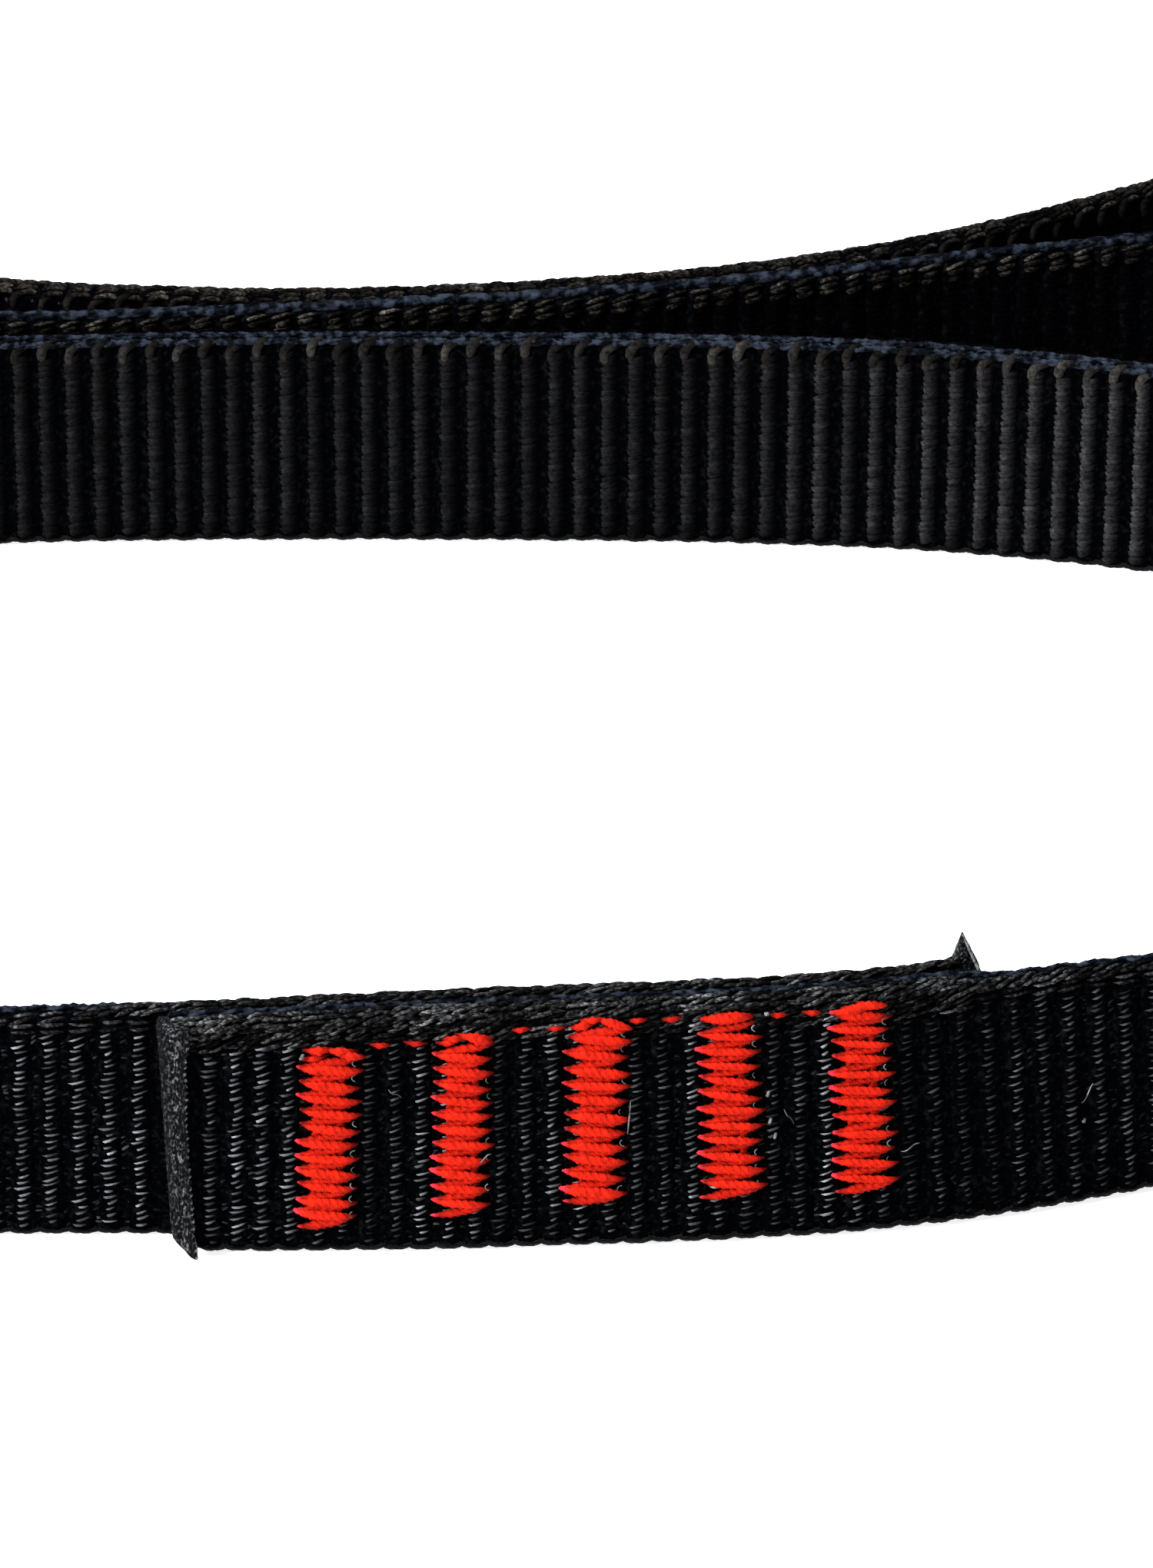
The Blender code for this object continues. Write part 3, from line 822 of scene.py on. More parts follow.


# Share of the strap's length, and there the lightness, length and fullness of the yarns: on the outer face, on the
# inner face, in the ropes under the outer face's top edge, in those over it, and in the knuckles on the inner face.
# The lightness is partly painted shade: near black where a face or an edge lies in the shade between the strands,
# and on the lap's plies beside the melted ends.
OUTER_TONE = (
    (0.0000, 0.00, 0.80, 0.9), (0.0020, 0.02, 0.80, 0.9), (0.0025, 0.70, 0.84, 0.9), (0.0044, 1.30, 0.88, 1.0),
    (0.0060, 1.22, 0.88, 1.0), (0.0070, 0.82, 0.85, 1.0), (0.0090, 0.84, 0.80, 0.9), (0.0360, 0.96, 0.80, 0.9),
    (0.0390, 0.24, 0.72, 0.85), (0.0420, 0.16, 0.68, 0.85), (0.0445, 0.38, 0.72, 0.85), (0.0600, 0.40, 0.86, 1.0),
    (0.1200, 0.30, 1.10, 1.4), (0.3300, 0.15, 1.15, 1.8), (0.4000, 0.00, 1.15, 1.8), (0.4800, 0.00, 1.15, 1.8),
    (0.5500, 0.15, 1.10, 1.6), (0.9000, 0.40, 1.00, 1.2), (0.9450, 1.16, 0.92, 0.92), (0.9577, 1.16, 0.92, 0.92),
    (0.9582, 0.02, 0.92, 1.0), (1.0000, 0.02, 0.92, 1.0),
)
INNER_TONE = (
    (0.000, 0.30, 1.00, 1.4), (0.120, 0.22, 1.15, 1.6), (0.185, 0.22, 1.44, 1.9), (0.200, 0.120, 1.48, 1.9),
    (0.215, 0.055, 1.50, 1.9), (0.260, 0.038, 1.50, 1.9), (0.400, 0.08, 1.20, 1.8), (0.590, 0.04, 1.20, 1.6),
    (0.610, 0.0, 1.20, 1.6), (0.680, 0.0, 1.20, 1.6), (0.800, 0.20, 1.10, 1.5), (1.000, 0.30, 1.00, 1.2),
)
OUTER_EDGE_TONE = (
    (0.000, 0.25, 1.15, 1.0), (0.003, 0.40, 1.15, 1.1), (0.008, 0.95, 1.15, 1.1), (0.025, 0.90, 1.15, 1.0),
    (0.042, 0.66, 1.15, 0.9), (0.060, 0.70, 1.10, 0.9), (0.120, 0.60, 1.05, 1.0), (0.150, 0.40, 1.05, 1.0),
    (0.175, 0.02, 1.05, 1.0), (0.280, 0.02, 1.05, 1.0), (0.300, 0.25, 1.05, 1.0), (0.330, 0.25, 1.05, 1.0),
    (0.400, 0.40, 1.00, 1.6), (0.480, 0.40, 1.00, 1.6), (0.600, 0.30, 1.00, 1.1), (0.945, 0.80, 1.15, 0.9),
    (1.000, 0.90, 1.15, 0.9),
)
TOP_TONE = (
    (0.000, 1.00, 1.15, 1.1), (0.025, 1.00, 1.15, 1.1), (0.060, 0.80, 1.00, 1.0), (0.120, 0.60, 1.05, 1.1),
    (0.150, 0.40, 1.05, 1.1), (0.175, 0.02, 1.05, 0.7), (0.280, 0.02, 1.05, 0.7), (0.300, 0.50, 1.05, 1.1),
    (0.400, 1.00, 1.15, 1.2), (0.480, 1.00, 1.15, 1.2), (0.520, 0.40, 1.00, 1.1), (0.590, 0.55, 1.35, 1.5),
    (0.700, 0.55, 1.35, 1.5), (0.720, 0.40, 1.00, 1.1), (0.945, 0.80, 1.15, 0.9), (1.000, 0.90, 1.15, 0.9),
)
INNER_EDGE_TONE = (
    (0.000, 0.30, 1.00, 1.0), (0.185, 0.50, 1.15, 1.25), (0.210, 0.28, 1.15, 1.25), (0.260, 0.20, 1.15, 1.25),
    (0.590, 0.20, 1.00, 1.0), (0.600, 0.10, 1.00, 1.1), (0.690, 0.10, 1.00, 1.1), (0.800, 0.22, 1.00, 1.0),
    (1.000, 0.30, 1.00, 1.0),
)

# Where the marks lie: share of a rib, how far they stray from it, and how light their yarns are
LAP_MARKS = {"offsets": (0.3, 0.8), "spread": 0.15}
ONE_ROPE = {"offsets": (0.68,)}
# Ropes over the top edge on each stretch: finish, marks, how uneven, and each row's side, height and lie
CREST = ((0.00078, 0.01558, 0.7), (0.00040, 0.01580, 1.2))
TOP_ROWS = (
    ("lap", LAP_EDGE, LAP_MARKS, 0.25,
     ((0.00078, 0.01564, 0.7), (0.00042, 0.01594, 1.2), (-0.00002, 0.01606, 1.4))),
    ("first", LAP_EDGE, {"offsets": (0.18, 0.68), "strength": 0.8}, 0.18, CREST),
    ("strap", EDGE, ONE_ROPE, 0.12, CREST),
    ("inward", EDGE, ONE_ROPE, 0.12, ((0.00072, 0.01568, 0.7),)),
    ("back", EDGE, ONE_ROPE, 0.12, CREST),
    ("near", LAP_EDGE, ONE_ROPE, 0.18, CREST),
    ("rear", LAP_EDGE, {"offsets": (0.05, 0.55), "spread": 0.15, "strength": 0.68}, 0.25,
     ((0.00056, 0.01584, 1.2), (0.00010, 0.01592, 1.4), (-0.00036, 0.01582, 1.5), (-0.00070, 0.01556, 1.8))),
    ("folded", EDGE, {"offsets": (0.18,), "strength": 0.95}, 0.12,
     ((0.00076, 0.01562, 0.7), (0.00040, 0.01582, 1.2), (0.00004, 0.01590, 1.4), (-0.00034, 0.01578, 1.5),
      (-0.00068, 0.01552, 1.6))),
)

body = make_body()

# The yarns that the rows repeat
float_path = bowed_path(0.00118, 0.00020, 0.00004, 5)
float_yarn = make_yarn("float_yarn", float_path, 0.000088, 0.000110, 4, 0.3)
bundle_yarn = make_yarn("bundle_yarn", float_path, 0.000190, 0.000110, 4, 0.3)
rope_yarn = make_yarn("rope_yarn", bowed_path(0.00165, 0.00022, 0.00007, 6), 0.00013, 0.00014, 6, 0.2)
knuckle_yarn = make_yarn("knuckle_yarn", (
    (-0.00030, -0.00085, -0.00010), (-0.00032, -0.00050, 0), (-0.00030, -0.00015, 0), (-0.00018, 0.00016, 0),
    (0.00010, 0.00035, -0.00004), (0.00046, 0.00042, -0.00012), (0.00080, 0.00040, -0.00022),
), 0.00030, 0.00024, 6, 0.25)

# Rows up both faces, in four pieces for each
for side, label, yarn, finish, tone, dimmest, along, size in (
    (1, "outer", float_yarn, WARP, OUTER_TONE, 0.50, 0.00012, 0.26),
    (-1, "inner", bundle_yarn, INNER_WARP, INNER_TONE, 0.85, 0.0, 0.10),
):
    for quarter in range(4):
        lay_rows(
            f"{label}_face_yarns_{quarter + 1}", yarn, finish,
            (max(1, RIB_COUNT * quarter // 4), RIB_COUNT * (quarter + 1) // 4), tone,
            Rows=31, First_Height=0.00080, Row_Spacing=0.000445, Stagger=0.00022, Side=float(side),
            Depth=HALF - 0.00006, Slant=0.14, Slant_Spread=0.16, Height_Spread=0.00007, Size_Spread=size,
            Along_Spread=along, Dimmest=dimmest, Seed=11 + 7 * quarter + side,
        )
# Fainter yarns that lie astray between the ribs on the front strand
for label, ribs in (("lap", (2, 44)), ("tail", (636, RIB_COUNT))):
    lay_rows(
        f"{label}_stray_yarns", float_yarn, WARP, ribs, OUTER_TONE,
        {"offsets": (-0.04, 0.14), "spread": 0.10, "strength": 0.24},
        Rows=26, First_Height=0.00090, Row_Spacing=0.00052, Stagger=0.00020, Side=1.0, Depth=HALF - 0.00030,
        Slant=0.05, Slant_Spread=0.50, Height_Spread=0.00025, Size_Spread=0.40, Along_Spread=0.0006, Dimmest=0.0,
        Seed=71,
    )
# Ropes under the top edge of the outer face
lay_rows(
    "lap_edge_yarns", rope_yarn, LAP_EDGE, STRETCHES["lap"], OUTER_EDGE_TONE, LAP_MARKS,
    Rows=4, First_Height=0.01425, Row_Spacing=0.00036, Stagger=0.00010, Side=1.0, Depth=HALF - 0.00006,
    Slant=0.16, Slant_Spread=0.24, Height_Spread=0.00012, Size_Spread=0.30, Along_Spread=0.0002, Dimmest=0.15,
    Seed=101,
)
first, near = STRETCHES["first"], STRETCHES["near"]
for label, finish, ribs in (
    ("first", LAP_EDGE, first), ("outer", EDGE, (first[1], near[0])), ("near", LAP_EDGE, (near[0], RIB_COUNT - 1)),
):
    lay_rows(
        f"{label}_edge_yarns", rope_yarn, finish, ribs, OUTER_EDGE_TONE, {"offsets": (0.62,), "strength": 0.8},
        Rows=2, First_Height=0.01472, Row_Spacing=0.00046, Stagger=0.00006, Side=1.0, Lie=0.15,
        Depth=HALF - 0.00004, Slant=-0.02, Slant_Spread=0.09, Height_Spread=0.00006, Size_Spread=0.18,
        Along_Spread=0.0001, Dimmest=0.45, Seed=102,
    )
# Ropes over the top edge
for label, finish, settings, wide, rows in TOP_ROWS:
    for row, (depth, height, lie) in enumerate(rows):
        lay_rows(
            f"{label}_top_yarns_{row + 1}", rope_yarn, finish, STRETCHES[label], TOP_TONE, settings,
            Rows=1, First_Height=height, Side=1.0, Depth=depth, Lie=lie, Slant=0.04, Slant_Spread=wide,
            Height_Spread=0.00006, Size_Spread=wide, Along_Spread=0.0001, Dimmest=0.4, Seed=103 + row,
        )
# Knuckles where the weft turns at the top of the inner face
lay_rows(
    "inner_edge_yarns", knuckle_yarn, KNUCKLE, (1, RIB_COUNT - 1), INNER_EDGE_TONE, {"spread": 0.02},
    Rows=1, First_Height=0.01502, Stagger=-0.00030, Side=-1.0, Depth=HALF - 0.00012,
    Slant_Spread=0.12, Height_Spread=0.00006, Size_Spread=0.10, Dimmest=0.60, Seed=109,
)
for yarn in (float_yarn, bundle_yarn, rope_yarn, knuckle_yarn):
    bpy.data.objects.remove(yarn)


# ---- Turns of the weft, and the top edge's cords ----

WEFT_SIDE = 0.00060
# The lowest that a loop's middle lies, so that it stays off the floor where the strap leans
WEFT_LOWEST = 0.00018


def bottom_loops():
    """A loop of weft under every rib, on both sides of the edge."""
    paths = []
    share = np.linspace(-1, 1, 7)
    for rib in range(2, RIB_COUNT):
        for side in (WEFT_SIDE, -WEFT_SIDE):
            height = 0.00020 + 0.00018 * np.abs(share) ** 2.4 + dice.uniform(0, 0.00006)
            path = lay.places(distance_of(rib + 0.5 + share * 0.62), side, height)
            path[:, 2] = np.maximum(path[:, 2], WEFT_LOWEST)
            paths.append((path, 1 - 0.25 * np.abs(share)))
    return paths


# Shares of the strap's length, and how much the cords are buried under the ropes or raised over the edge there
BURIED_CORDS = ((0.57, 0.59, 0.71, 0.73), (0, 1, 1, 0))
RAISED_CORDS = ((0.39, 0.41, 0.48, 0.50), (0, 1, 1, 0))
# Side and height of each cord, and how far its plies wind round that
CORD_PLACES = ((-0.00032, 0.01572), (-0.00068, 0.01542))
PLY_SIDE = 0.00014
PLY_HEIGHT = 0.00012
# How far past the lap the cords rise and sink into it
CORD_RAMP = 0.004


def selvedge_plies():
    """Two cords along the inner side of the top edge, each of two plies that wind round each other."""
    phase = np.arange(2, RIB_COUNT * 3 - 1) / 3
    paths = []
    distance = distance_of(phase)
    front = np.clip((LAP_LENGTH + CORD_RAMP / 2 - distance) / CORD_RAMP, 0, 1)
    rear = np.clip((distance - lay.length + LAP_LENGTH + CORD_RAMP / 2) / CORD_RAMP, 0, 1)
    buried = np.interp(distance / lay.length, *BURIED_CORDS)
    raised = np.interp(distance / lay.length, *RAISED_CORDS)
    for side, height in CORD_PLACES:
        side = side - 0.00022 * front + 0.00024 * raised + 0.00036 * buried
        height = height + 0.00034 * front - 0.00018 * rear - 0.00060 * buried + 0.00022 * raised
        for start in (0, math.pi):
            turn = start + phase * math.pi * 0.9 + side * 4000
            path = lay.places(distance, side + PLY_SIDE * np.cos(turn), height + PLY_HEIGHT * np.sin(turn))
            paths.append((path, 1 + 0.15 * np.sin(phase * 1.7 + start) + 0.5 * raised))
    return paths


make_threads("weft_turns", bottom_loops(), WEFT, radius=0.00024, sides=5, turn=0.004)
make_threads("selvedge_cord", selvedge_plies(), CORD, radius=0.00023, sides=5, turn=0.003)


# ---- Heat-sealed ends ----

# The inner tail's melted end stands past its cut, and its corner is pulled up from this height
TAIL_END = lay.length + 0.00065
HORN_FOOT = 0.0146
HORN_HEIGHT = 0.0029
# Round a melted cap, from the cut's outer corner over its face: reach past the cut, way out, share of the foot's flare
CAP_OUTLINE = (
    (1.00, 0.62, 1.00), (1.04, 0.90, 1.00), (0.98, 1.02, 0.90), (0.84, 0.97, 0.70), (0.66, 1.03, 0.50),
    (0.48, 0.98, 0.33), (0.30, 1.04, 0.20), (0.12, 1.00, 0.10), (0.00, 0.86, 0.00), (-0.06, 0.40, 0.00),
    (-0.07, -0.40, 0.00), (0.00, -0.92, 0.00), (0.50, -0.97, 0.00), (1.00, -0.90, 0.00),
)
# Reach past the cut, and how pale the cap is there: two bright bands beside a dark one
CAP_BANDS = ((0.0, 0.25, 0.36, 0.46, 0.65, 0.85, 1.0), (0.25, 0.25, 1.0, 0.3, 0.95, 0.2, 0.3))
CAP_LEVELS = 151
# The cap's lip has melted beads up it, with a painted highlight on the top of each
LIP_POINTS = 5
BEAD_PITCH = 0.00045
BEAD_HEIGHT = 0.00006
# Shares of the strap's width over which the foot flares, and over which its outer side is cut off
FLARE_SHARE = 0.16
TRIM_SHARE = 0.13


def add_melted(name, rings, pale):
    """A melted piece over rings of points, and how pale it is at each."""
    mesh = skin(np.array(rings), name)
    put_attribute(mesh, "pale", np.ravel(pale))
    rows, columns = len(rings), len(rings[0])
    corner = corner_vertices(mesh)
    put_map(mesh, np.stack([(corner % columns) / columns, (corner // columns) / (rows - 1)], axis=1))
    mesh.materials.append(SEAL)
    add_piece(name, mesh)


def make_seal(name, start, inward, open_side, top, skew, flare):
    """The melted end of one tail: a rough cap over its cut that leans and flares into a pointed foot."""
    heights = np.concatenate([np.linspace(0.0, top - 0.0002, CAP_LEVELS), [top]])
    columns = np.array(CAP_OUTLINE).T
    reach, way_out, flared = (
        np.interp(np.arange(0, len(v), 0.5), np.arange(len(v) + 1), np.append(v, v[0])) for v in columns
    )
    ridges = dice.uniform(-0.00005, 0.00005, len(reach))
    wander = 0.0
    rings, pale = [], []
    for height in heights:
        share = height / STRAP_WIDTH
        wander = wander * 0.9 + dice.uniform(-0.00003, 0.00003)
        wide = 0.00128 + 0.00066 * share ** 4 + 0.00020 * (1 - share) ** 3 + wander
        ridges = ridges * 0.80 + dice.uniform(-0.00004, 0.00004, len(reach))
        bead = math.sin(height / BEAD_PITCH * math.tau)
        closing = 0.4 if height == top else 1.0
        along = skew * (1 - share) + wide * reach * closing + ridges * 0.5
        along[:LIP_POINTS] += BEAD_HEIGHT * bead
        foot = flare * max(0.0, 1 - share / FLARE_SHARE) ** 1.3
        out = (HALF + 0.00022) * way_out * closing + ridges * (way_out > 0) + foot * flared
        trim = flare * 2.0 * np.clip(0.8 - reach, 0, 1) * max(0.0, 1 - share / TRIM_SHARE)
        ring = lay.places(start + inward * along, open_side * out, height + trim)
        ring[:, 2] = np.maximum(ring[:, 2], 0)
        rings.append(ring)
        level = np.interp(reach, *CAP_BANDS)
        # Painted highlights on the tops of the lip's beads
        level[:LIP_POINTS] += max(0.0, 2 * bead) * dice.uniform(0.4, 1.3)
        level += np.interp(reach, (0.40, 0.50, 0.60), (0, 1, 0)) * (share > 0.6) * dice.uniform(-1.5, 2.0)
        pale.append(level)
    add_melted(name, rings, pale)


def make_horn():
    """The corner of the inner tail that the hot knife pulled up, with its pale melted rim."""
    levels = np.linspace(0, 1, 11)
    near = 0.00105 * levels - 0.00034 - 0.00010 * np.sin(levels * math.pi)
    far = 0.00158 - 0.00080 * np.clip((levels - 0.45) / 0.55, 0, 1) ** 0.8
    thick = 0.00080 - 0.00066 * levels
    rings = []
    for share, first, last, half in zip(levels, near, far, thick):
        along = np.array([first, (first + last) / 2, last, last, (first + last) / 2, first])
        out = np.array([half, half * 1.15, half * 0.8, -half * 0.8, -half * 1.15, -half])
        along = along + dice.uniform(-0.00004, 0.00004, len(along))
        rings.append(lay.places(TAIL_END - along, out, HORN_FOOT + HORN_HEIGHT * share))
    add_melted("lifted_corner", rings, np.tile((0.2, 0.3, 0.5, 0.5, 0.3, 0.2), len(levels)))
    share = np.linspace(0, 1, 15)
    path = lay.places(
        TAIL_END + 0.00022 - 0.00105 * share, 0.00096 - 0.00068 * share + 0.00004 * np.sin(share * 9),
        HORN_FOOT + HORN_HEIGHT * share,
    )
    thickness = 1.0 - 0.45 * share + dice.uniform(-0.12, 0.12, len(share))
    make_threads(
        "lifted_corner_rim", [(path, thickness)], RIM, radius=0.00013, sides=8, turn=0.002,
        ply_depth=0.1,
    )


make_seal("outer_tail_seal", 0.00025, inward=1, open_side=1, top=STRAP_WIDTH, skew=0.00072, flare=0.00074)
make_seal("inner_tail_seal", TAIL_END, inward=-1, open_side=-1, top=0.0148, skew=0.0, flare=0.0)
make_horn()


# ---- Sewing ----


def tack_distance(tack):
    """Distance of a tack's middle from the outer tail's cut end."""
    return TACK_INSET + TACK_PITCH * tack


def tack_height(tack):
    """Height of a tack's middle up the strap."""
    return STRAP_WIDTH * TACK_HEIGHT_SHARES[tack] - TACK_DROP


def on_face(distance, height, lift, on_back):
    """Points on the lap's front or back face, lifted off it."""
    side = -(PLY_STEP + HALF) - lift if on_back else HALF + lift
    return lay.places(distance, side, height)


def crossing(left, right, crown, full=1.0):
    """Flat path of one thread crossing between two needle holes: along and up the lap, and lift."""
    share = np.linspace(0, 1, 25)
    tip = np.minimum(share, 1 - share) * math.dist(left, right) / THREAD_DIVE_REACH
    along = left[0] + (right[0] - left[0]) * share
    up = left[1] + (right[1] - left[1]) * share
    lift = crown - (crown + THREAD_DIVE) * np.clip(1 - tip, 0, 1) ** 2.2
    thickness = 0.22 + (full - 0.22) * np.clip(tip, 0, 1) ** 0.9
    return np.stack([along, up, lift], axis=1), thickness


# Crossings of the start knot over a tack, in mm from its top's middle: left end, its height, right end, its height
ARCH_KNOT = (
    (-1.9, -0.35, -0.1, -0.05), (-1.6, 0.10, 0.3, 0.05), (-0.5, 0.35, 1.9, -0.25), (0.1, 0.20, 2.1, -0.55),
)
FLAT_KNOT = ((-2.2, -0.05, 2.0, -0.02), (-1.7, -0.34, 1.5, -0.16), (-0.9, 0.18, 1.6, 0.10))
HIGH_KNOT = ((-1.7, -0.22, 1.9, -0.30), (-2.0, -0.04, 1.0, 0.28), (-1.4, 0.06, 1.3, 0.38), (-0.2, 0.36, 2.0, -0.06))
TACK_KNOTS = (ARCH_KNOT, ARCH_KNOT, ARCH_KNOT, FLAT_KNOT, HIGH_KNOT)
# How full each tack's threads lie: the right-hand tacks leave gaps between them
TACK_FULLNESS = (1.10, 1.06, 1.10, 0.98, 0.96)
# The padding stitches up a tack, from its middle, and their reach as a share of its length
PADDING_PLACES = (-0.0008, -0.0001, 0.0007)
PADDING_REACH = 0.46
# How high a crossing rises off the lap, how much higher every second one does, and how high the knot lies
CROWN = 0.00016
CROWN_STEP = 0.00030
TOP_CROWN = 0.00034


def tack_paths(tack):
    """The zigzag of one bar tack, with padding stitches below it and its start knot on top."""
    middle, height = tack_distance(tack) + TACK_SHIFT, tack_height(tack)
    length = TACK_LENGTH - 1.5 * THREAD_RADIUS
    reach = TACK_WIDTH * TACK_WIDTH_SHARES[tack] / 2
    step = length / TACK_CROSSINGS
    lean = TACK_LEANS[tack]
    holes = []
    for k in range(TACK_CROSSINGS + 1):
        side = -1 if k % 2 == 0 else 1
        up = step * (k - TACK_CROSSINGS / 2)
        along = middle + lean * up + side * (reach + dice.uniform(-0.00022, 0.00016))
        holes.append((along, height + up + dice.uniform(-0.00013, 0.00013)))
    paths = []
    for k, (left, right) in enumerate(zip(holes[:-2], holes[1:-1])):
        crown = CROWN + CROWN_STEP * (k % 2) + dice.uniform(0, 0.00010)
        paths.append(crossing(left, right, crown, TACK_FULLNESS[tack] * dice.uniform(0.90, 1.12)))
    for along in PADDING_PLACES:
        bottom = (middle + along - lean * length * PADDING_REACH, height - length * PADDING_REACH)
        top = (middle + along + lean * length * PADDING_REACH, height + length * PADDING_REACH)
        paths.append(crossing(bottom, top, CROWN / 2))
    middle, top = middle + lean * length / 2, height + length / 2
    for k, ends in enumerate(TACK_KNOTS[tack]):
        left, left_up, right, right_up = np.array(ends) * MM + dice.uniform(-0.0002, 0.0002, len(ends))
        left, right = (middle + left, top + left_up), (middle + right, top + right_up)
        paths.append(crossing(left, right, TOP_CROWN + 0.00005 * k, dice.uniform(1.0, 1.3)))
    return paths


def run_paths(gap):
    """The running stitches between two tacks."""
    height = (tack_height(gap) + tack_height(gap + 1) + TACK_LENGTH) / 2 - RUN_DROP
    paths = []
    for run in range(RUNS_PER_GAP):
        middle = tack_distance(gap + 0.5) + RUN_PITCH * (run - (RUNS_PER_GAP - 1) / 2) + RUN_SHIFTS[gap]
        tilt = dice.uniform(-0.0001, 0.0001)
        left = (middle - RUN_LENGTH / 2 - 0.0001, height - tilt)
        right = (middle + RUN_LENGTH / 2 + 0.0001, height + tilt)
        paths.append(crossing(left, right, TOP_CROWN, dice.uniform(0.8, 1.0)))
    return paths


def sew(name, paths, on_back, glints):
    """Make threads flat, press them and lay them on the lap's face."""
    piece = make_threads(
        name, paths, THREAD, radius=THREAD_RADIUS, sides=9, turn=0.0014, ply_depth=0.17,
    )
    mesh = piece.data
    along, up, lift = read(mesh.vertices, "co", size=3).T
    mesh.vertices.foreach_set("co", on_face(along, up, lift * THREAD_FLATNESS, on_back).ravel())
    tip = (along.max() - along) / np.ptp(along)
    # Painted shade where the thread lies low, and a painted pink highlight on its tips on the key lamp's side
    put_attribute(mesh, "rise", np.interp(lift, (0.0, 0.00022, 0.00050, 0.00075), (0.0, 0.25, 0.85, 1.0)))
    put_attribute(mesh, "glint", np.interp(tip, (0.86, 0.94), (0.0, glints)))
    face_outwards(mesh)
    mesh.update()
    return piece


for face, on_back in (("front", False), ("back", True)):
    for tack in range(TACK_COUNT):
        piece = sew(f"{face}_tack_thread_{tack + 1}", tack_paths(tack), on_back, glints=0.9)
        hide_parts(f"{face}_tack_{tack + 1}")
    paths = [path for gap in range(TACK_COUNT - 1) for path in run_paths(gap)]
    piece = sew(f"{face}_run_thread", paths, on_back, glints=0.0)
    runs = (f"{face}_run_{gap + 1}_{run + 1}" for gap in range(TACK_COUNT - 1) for run in range(RUNS_PER_GAP))
    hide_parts(*runs)


def tack_fibres():
    """Fine filaments that the needle pulled up in the notches on the tacks' right sides."""
    paths = []
    step = TACK_LENGTH / TACK_CROSSINGS
    share = np.linspace(0, 1, 7)
    for tack in range(TACK_COUNT):
        for k in range(2, TACK_CROSSINGS, 2):
            up = step * (k - TACK_CROSSINGS / 2) + dice.uniform(-0.00006, 0.00006)
            along = tack_distance(tack) + TACK_SHIFT + TACK_LEANS[tack] * up + TACK_WIDTH * 0.33
            turn = dice.uniform(-0.3, 0.3) + np.linspace(-1.3, 1.3, 7) * dice.uniform(0.6, 1.0)
            along = along + dice.uniform(-0.00008, 0.00008) + 0.00034 * (1 - np.cos(turn))
            height = tack_height(tack) + up + 0.00024 * np.sin(turn)
            full = dice.uniform(0.5, 1.1) - 0.5 * np.abs(share - 0.5)
            if dice.random() < 0.65:
                paths.append((on_face(along, height, 0.00018, False), full))
    return paths


# Loose fibres and specks: distance, height, half length along and up, and fullness
LINT = (
    (0.0297, 0.0086, -0.00010, -0.0011, 1.0), (0.0398, 0.0082, 0.0003, -0.0005, 0.8),
    (0.0592, 0.0076, 0.0004, 0.0006, 0.8), (0.0205, 0.0062, 0.0005, 0.0003, 0.8),
    (0.0150, 0.0108, 0.0004, -0.0003, 0.8), (0.0475, 0.0055, 0.0006, 0.0002, 0.8),
    (0.0092, 0.0136, 0.00012, 0.00006, 2.2), (0.0385, 0.0151, 0.00012, -0.00010, 2.0),
    (0.0385, 0.0098, 0.00010, 0.00006, 2.0), (0.0386, 0.0080, 0.00010, 0.00006, 2.0),
    (0.0389, 0.0070, 0.00008, 0.00008, 2.0), (0.0589, 0.0058, 0.00010, 0.0, 2.0),
)


def lint_paths():
    """A few loose fibres and specks on the lap's face."""
    share = np.linspace(-1, 1, 7)
    paths = []
    for distance, height, reach, rise, full in LINT:
        path = on_face(
            distance + reach * share, height + rise * share + 0.0001 * np.sin(share * 3),
            0.00036 - 0.0001 * share ** 2, False,
        )
        paths.append((path, full * (1 - 0.5 * np.abs(share) ** 3)))
    return paths


make_threads(
    "loose_fibres", tack_fibres() + lint_paths(), FIBRE, radius=0.00005, sides=5, turn=0.01,
)


# ---- Studio ----

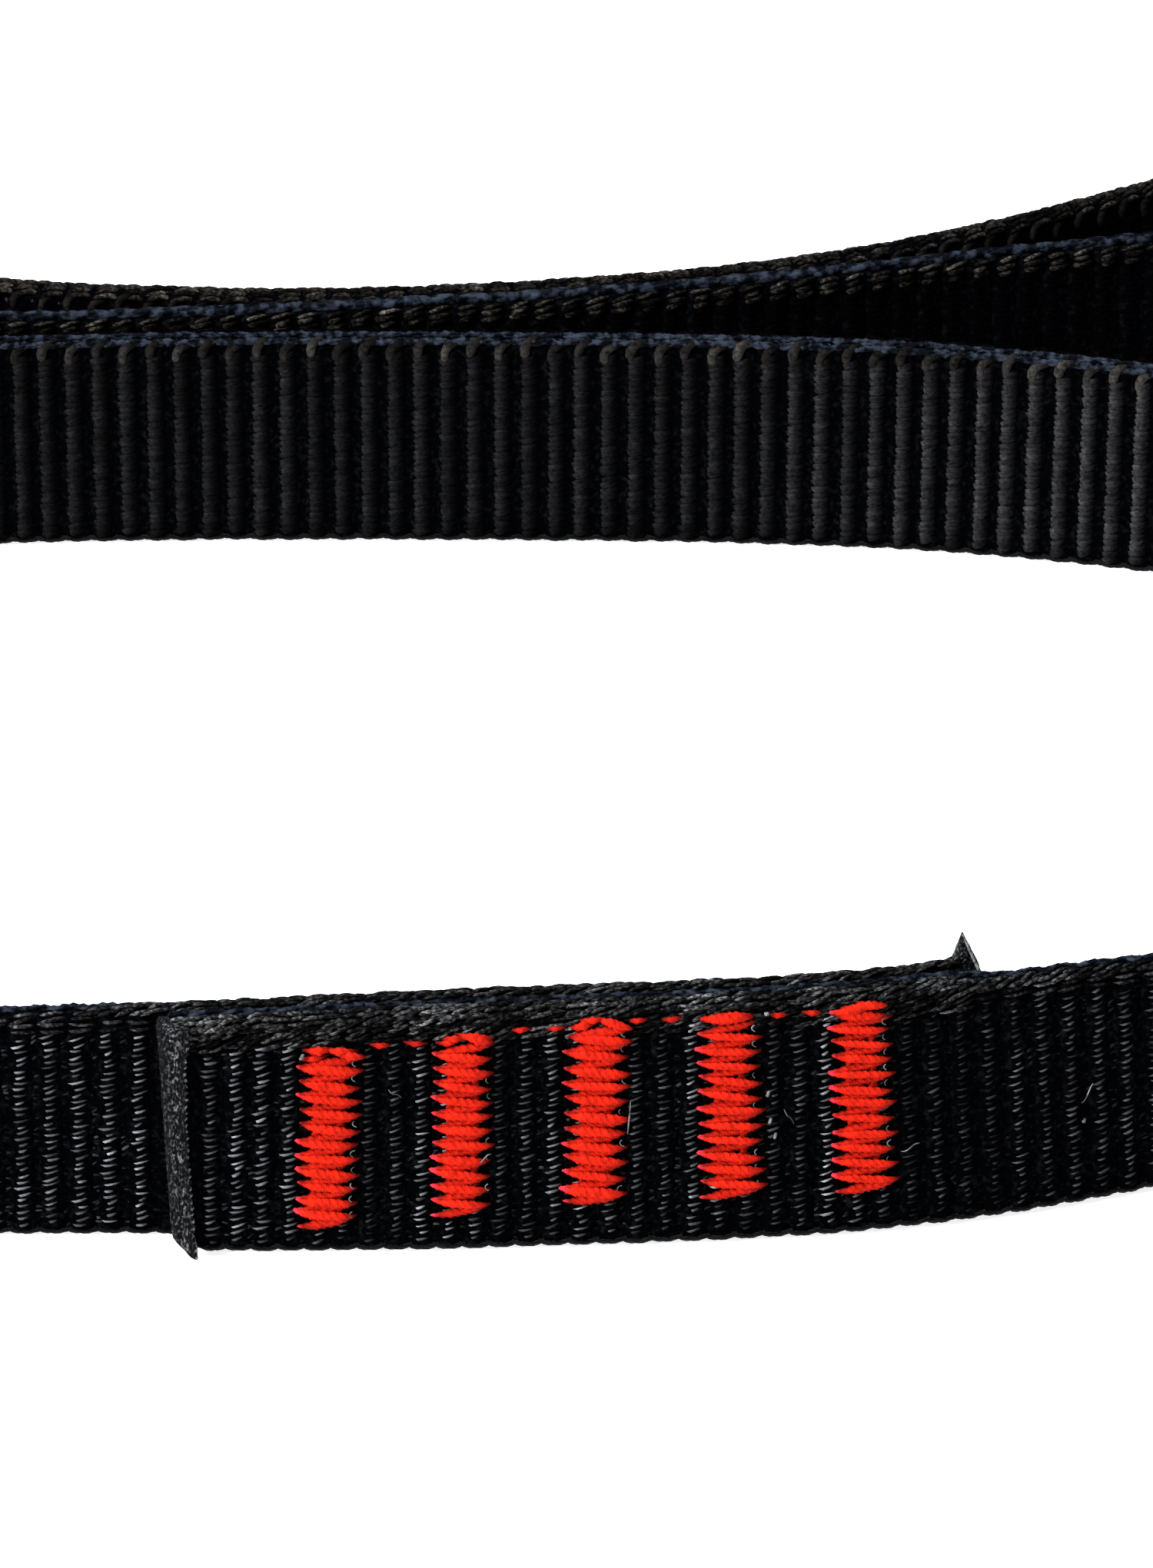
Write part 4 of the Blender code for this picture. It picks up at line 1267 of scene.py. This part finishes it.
FLOOR_REACH = 4.0
FLOOR_LEVEL = -0.0002
CAMERA_PLACE = (0.03286, -0.59898, 0.34014)
CAMERA_TURN = (math.radians(60), 0, 0)
CAMERA_LENS = 229.4


def make_floor():
    """A wide pale floor just under the strap's lower edge."""
    mesh = bpy.data.meshes.new("studio_floor")
    corners = [(x * FLOOR_REACH, y * FLOOR_REACH, FLOOR_LEVEL) for x, y in ((-1, -1), (1, -1), (1, 1), (-1, 1))]
    mesh.from_pydata(corners, [], [(0, 1, 2, 3)])
    material, _, shader = new_finish("pale_floor", 0.9, 0.1)
    shader.inputs["Base Color"].default_value = (0.55, 0.55, 0.55, 1)
    shader.inputs["Emission Color"].default_value = (1, 1, 1, 1)
    shader.inputs["Emission Strength"].default_value = 0.85
    mesh.materials.append(material)
    add_object("studio_floor", mesh)


def place_in_studio(name, data, place, turn):
    """A lamp or a camera at its place."""
    item = bpy.data.objects.new(name, data)
    item.location = place
    item.rotation_euler = turn
    bpy.context.scene.collection.objects.link(item)
    return item


def add_lamp(name, place, size, colour, power):
    """A square soft lamp that faces the middle of the floor."""
    lamp = bpy.data.lights.new(name, "AREA")
    lamp.shape = "SQUARE"
    lamp.size = size
    lamp.color = colour
    lamp.energy = power
    turn = (Vector() - Vector(place)).to_track_quat("-Z", "Y").to_euler()
    place_in_studio(name, lamp, place, turn)


def make_camera():
    """The photograph's view: thirty degrees down, from the front."""
    camera = bpy.data.cameras.new("camera")
    camera.lens = CAMERA_LENS
    camera.sensor_width = 36
    camera.clip_start = 0.01
    bpy.context.scene.camera = place_in_studio("camera", camera, CAMERA_PLACE, CAMERA_TURN)


make_floor()
make_camera()
add_lamp("key", (-1.25, -0.75, 0.62), 0.35, (1.0, 0.96, 0.91), 46)
add_lamp("top", (0.0, 0.0, 1.6), 1.0, (0.90, 0.95, 1.0), 46)
world = bpy.data.worlds.new("studio")
world.use_nodes = True
sky = world.node_tree.nodes["Background"].inputs
sky["Color"].default_value = (1, 1, 1, 1)
sky["Strength"].default_value = 0.12
bpy.context.scene.world = world
bpy.context.scene.view_settings.view_transform = "Standard"
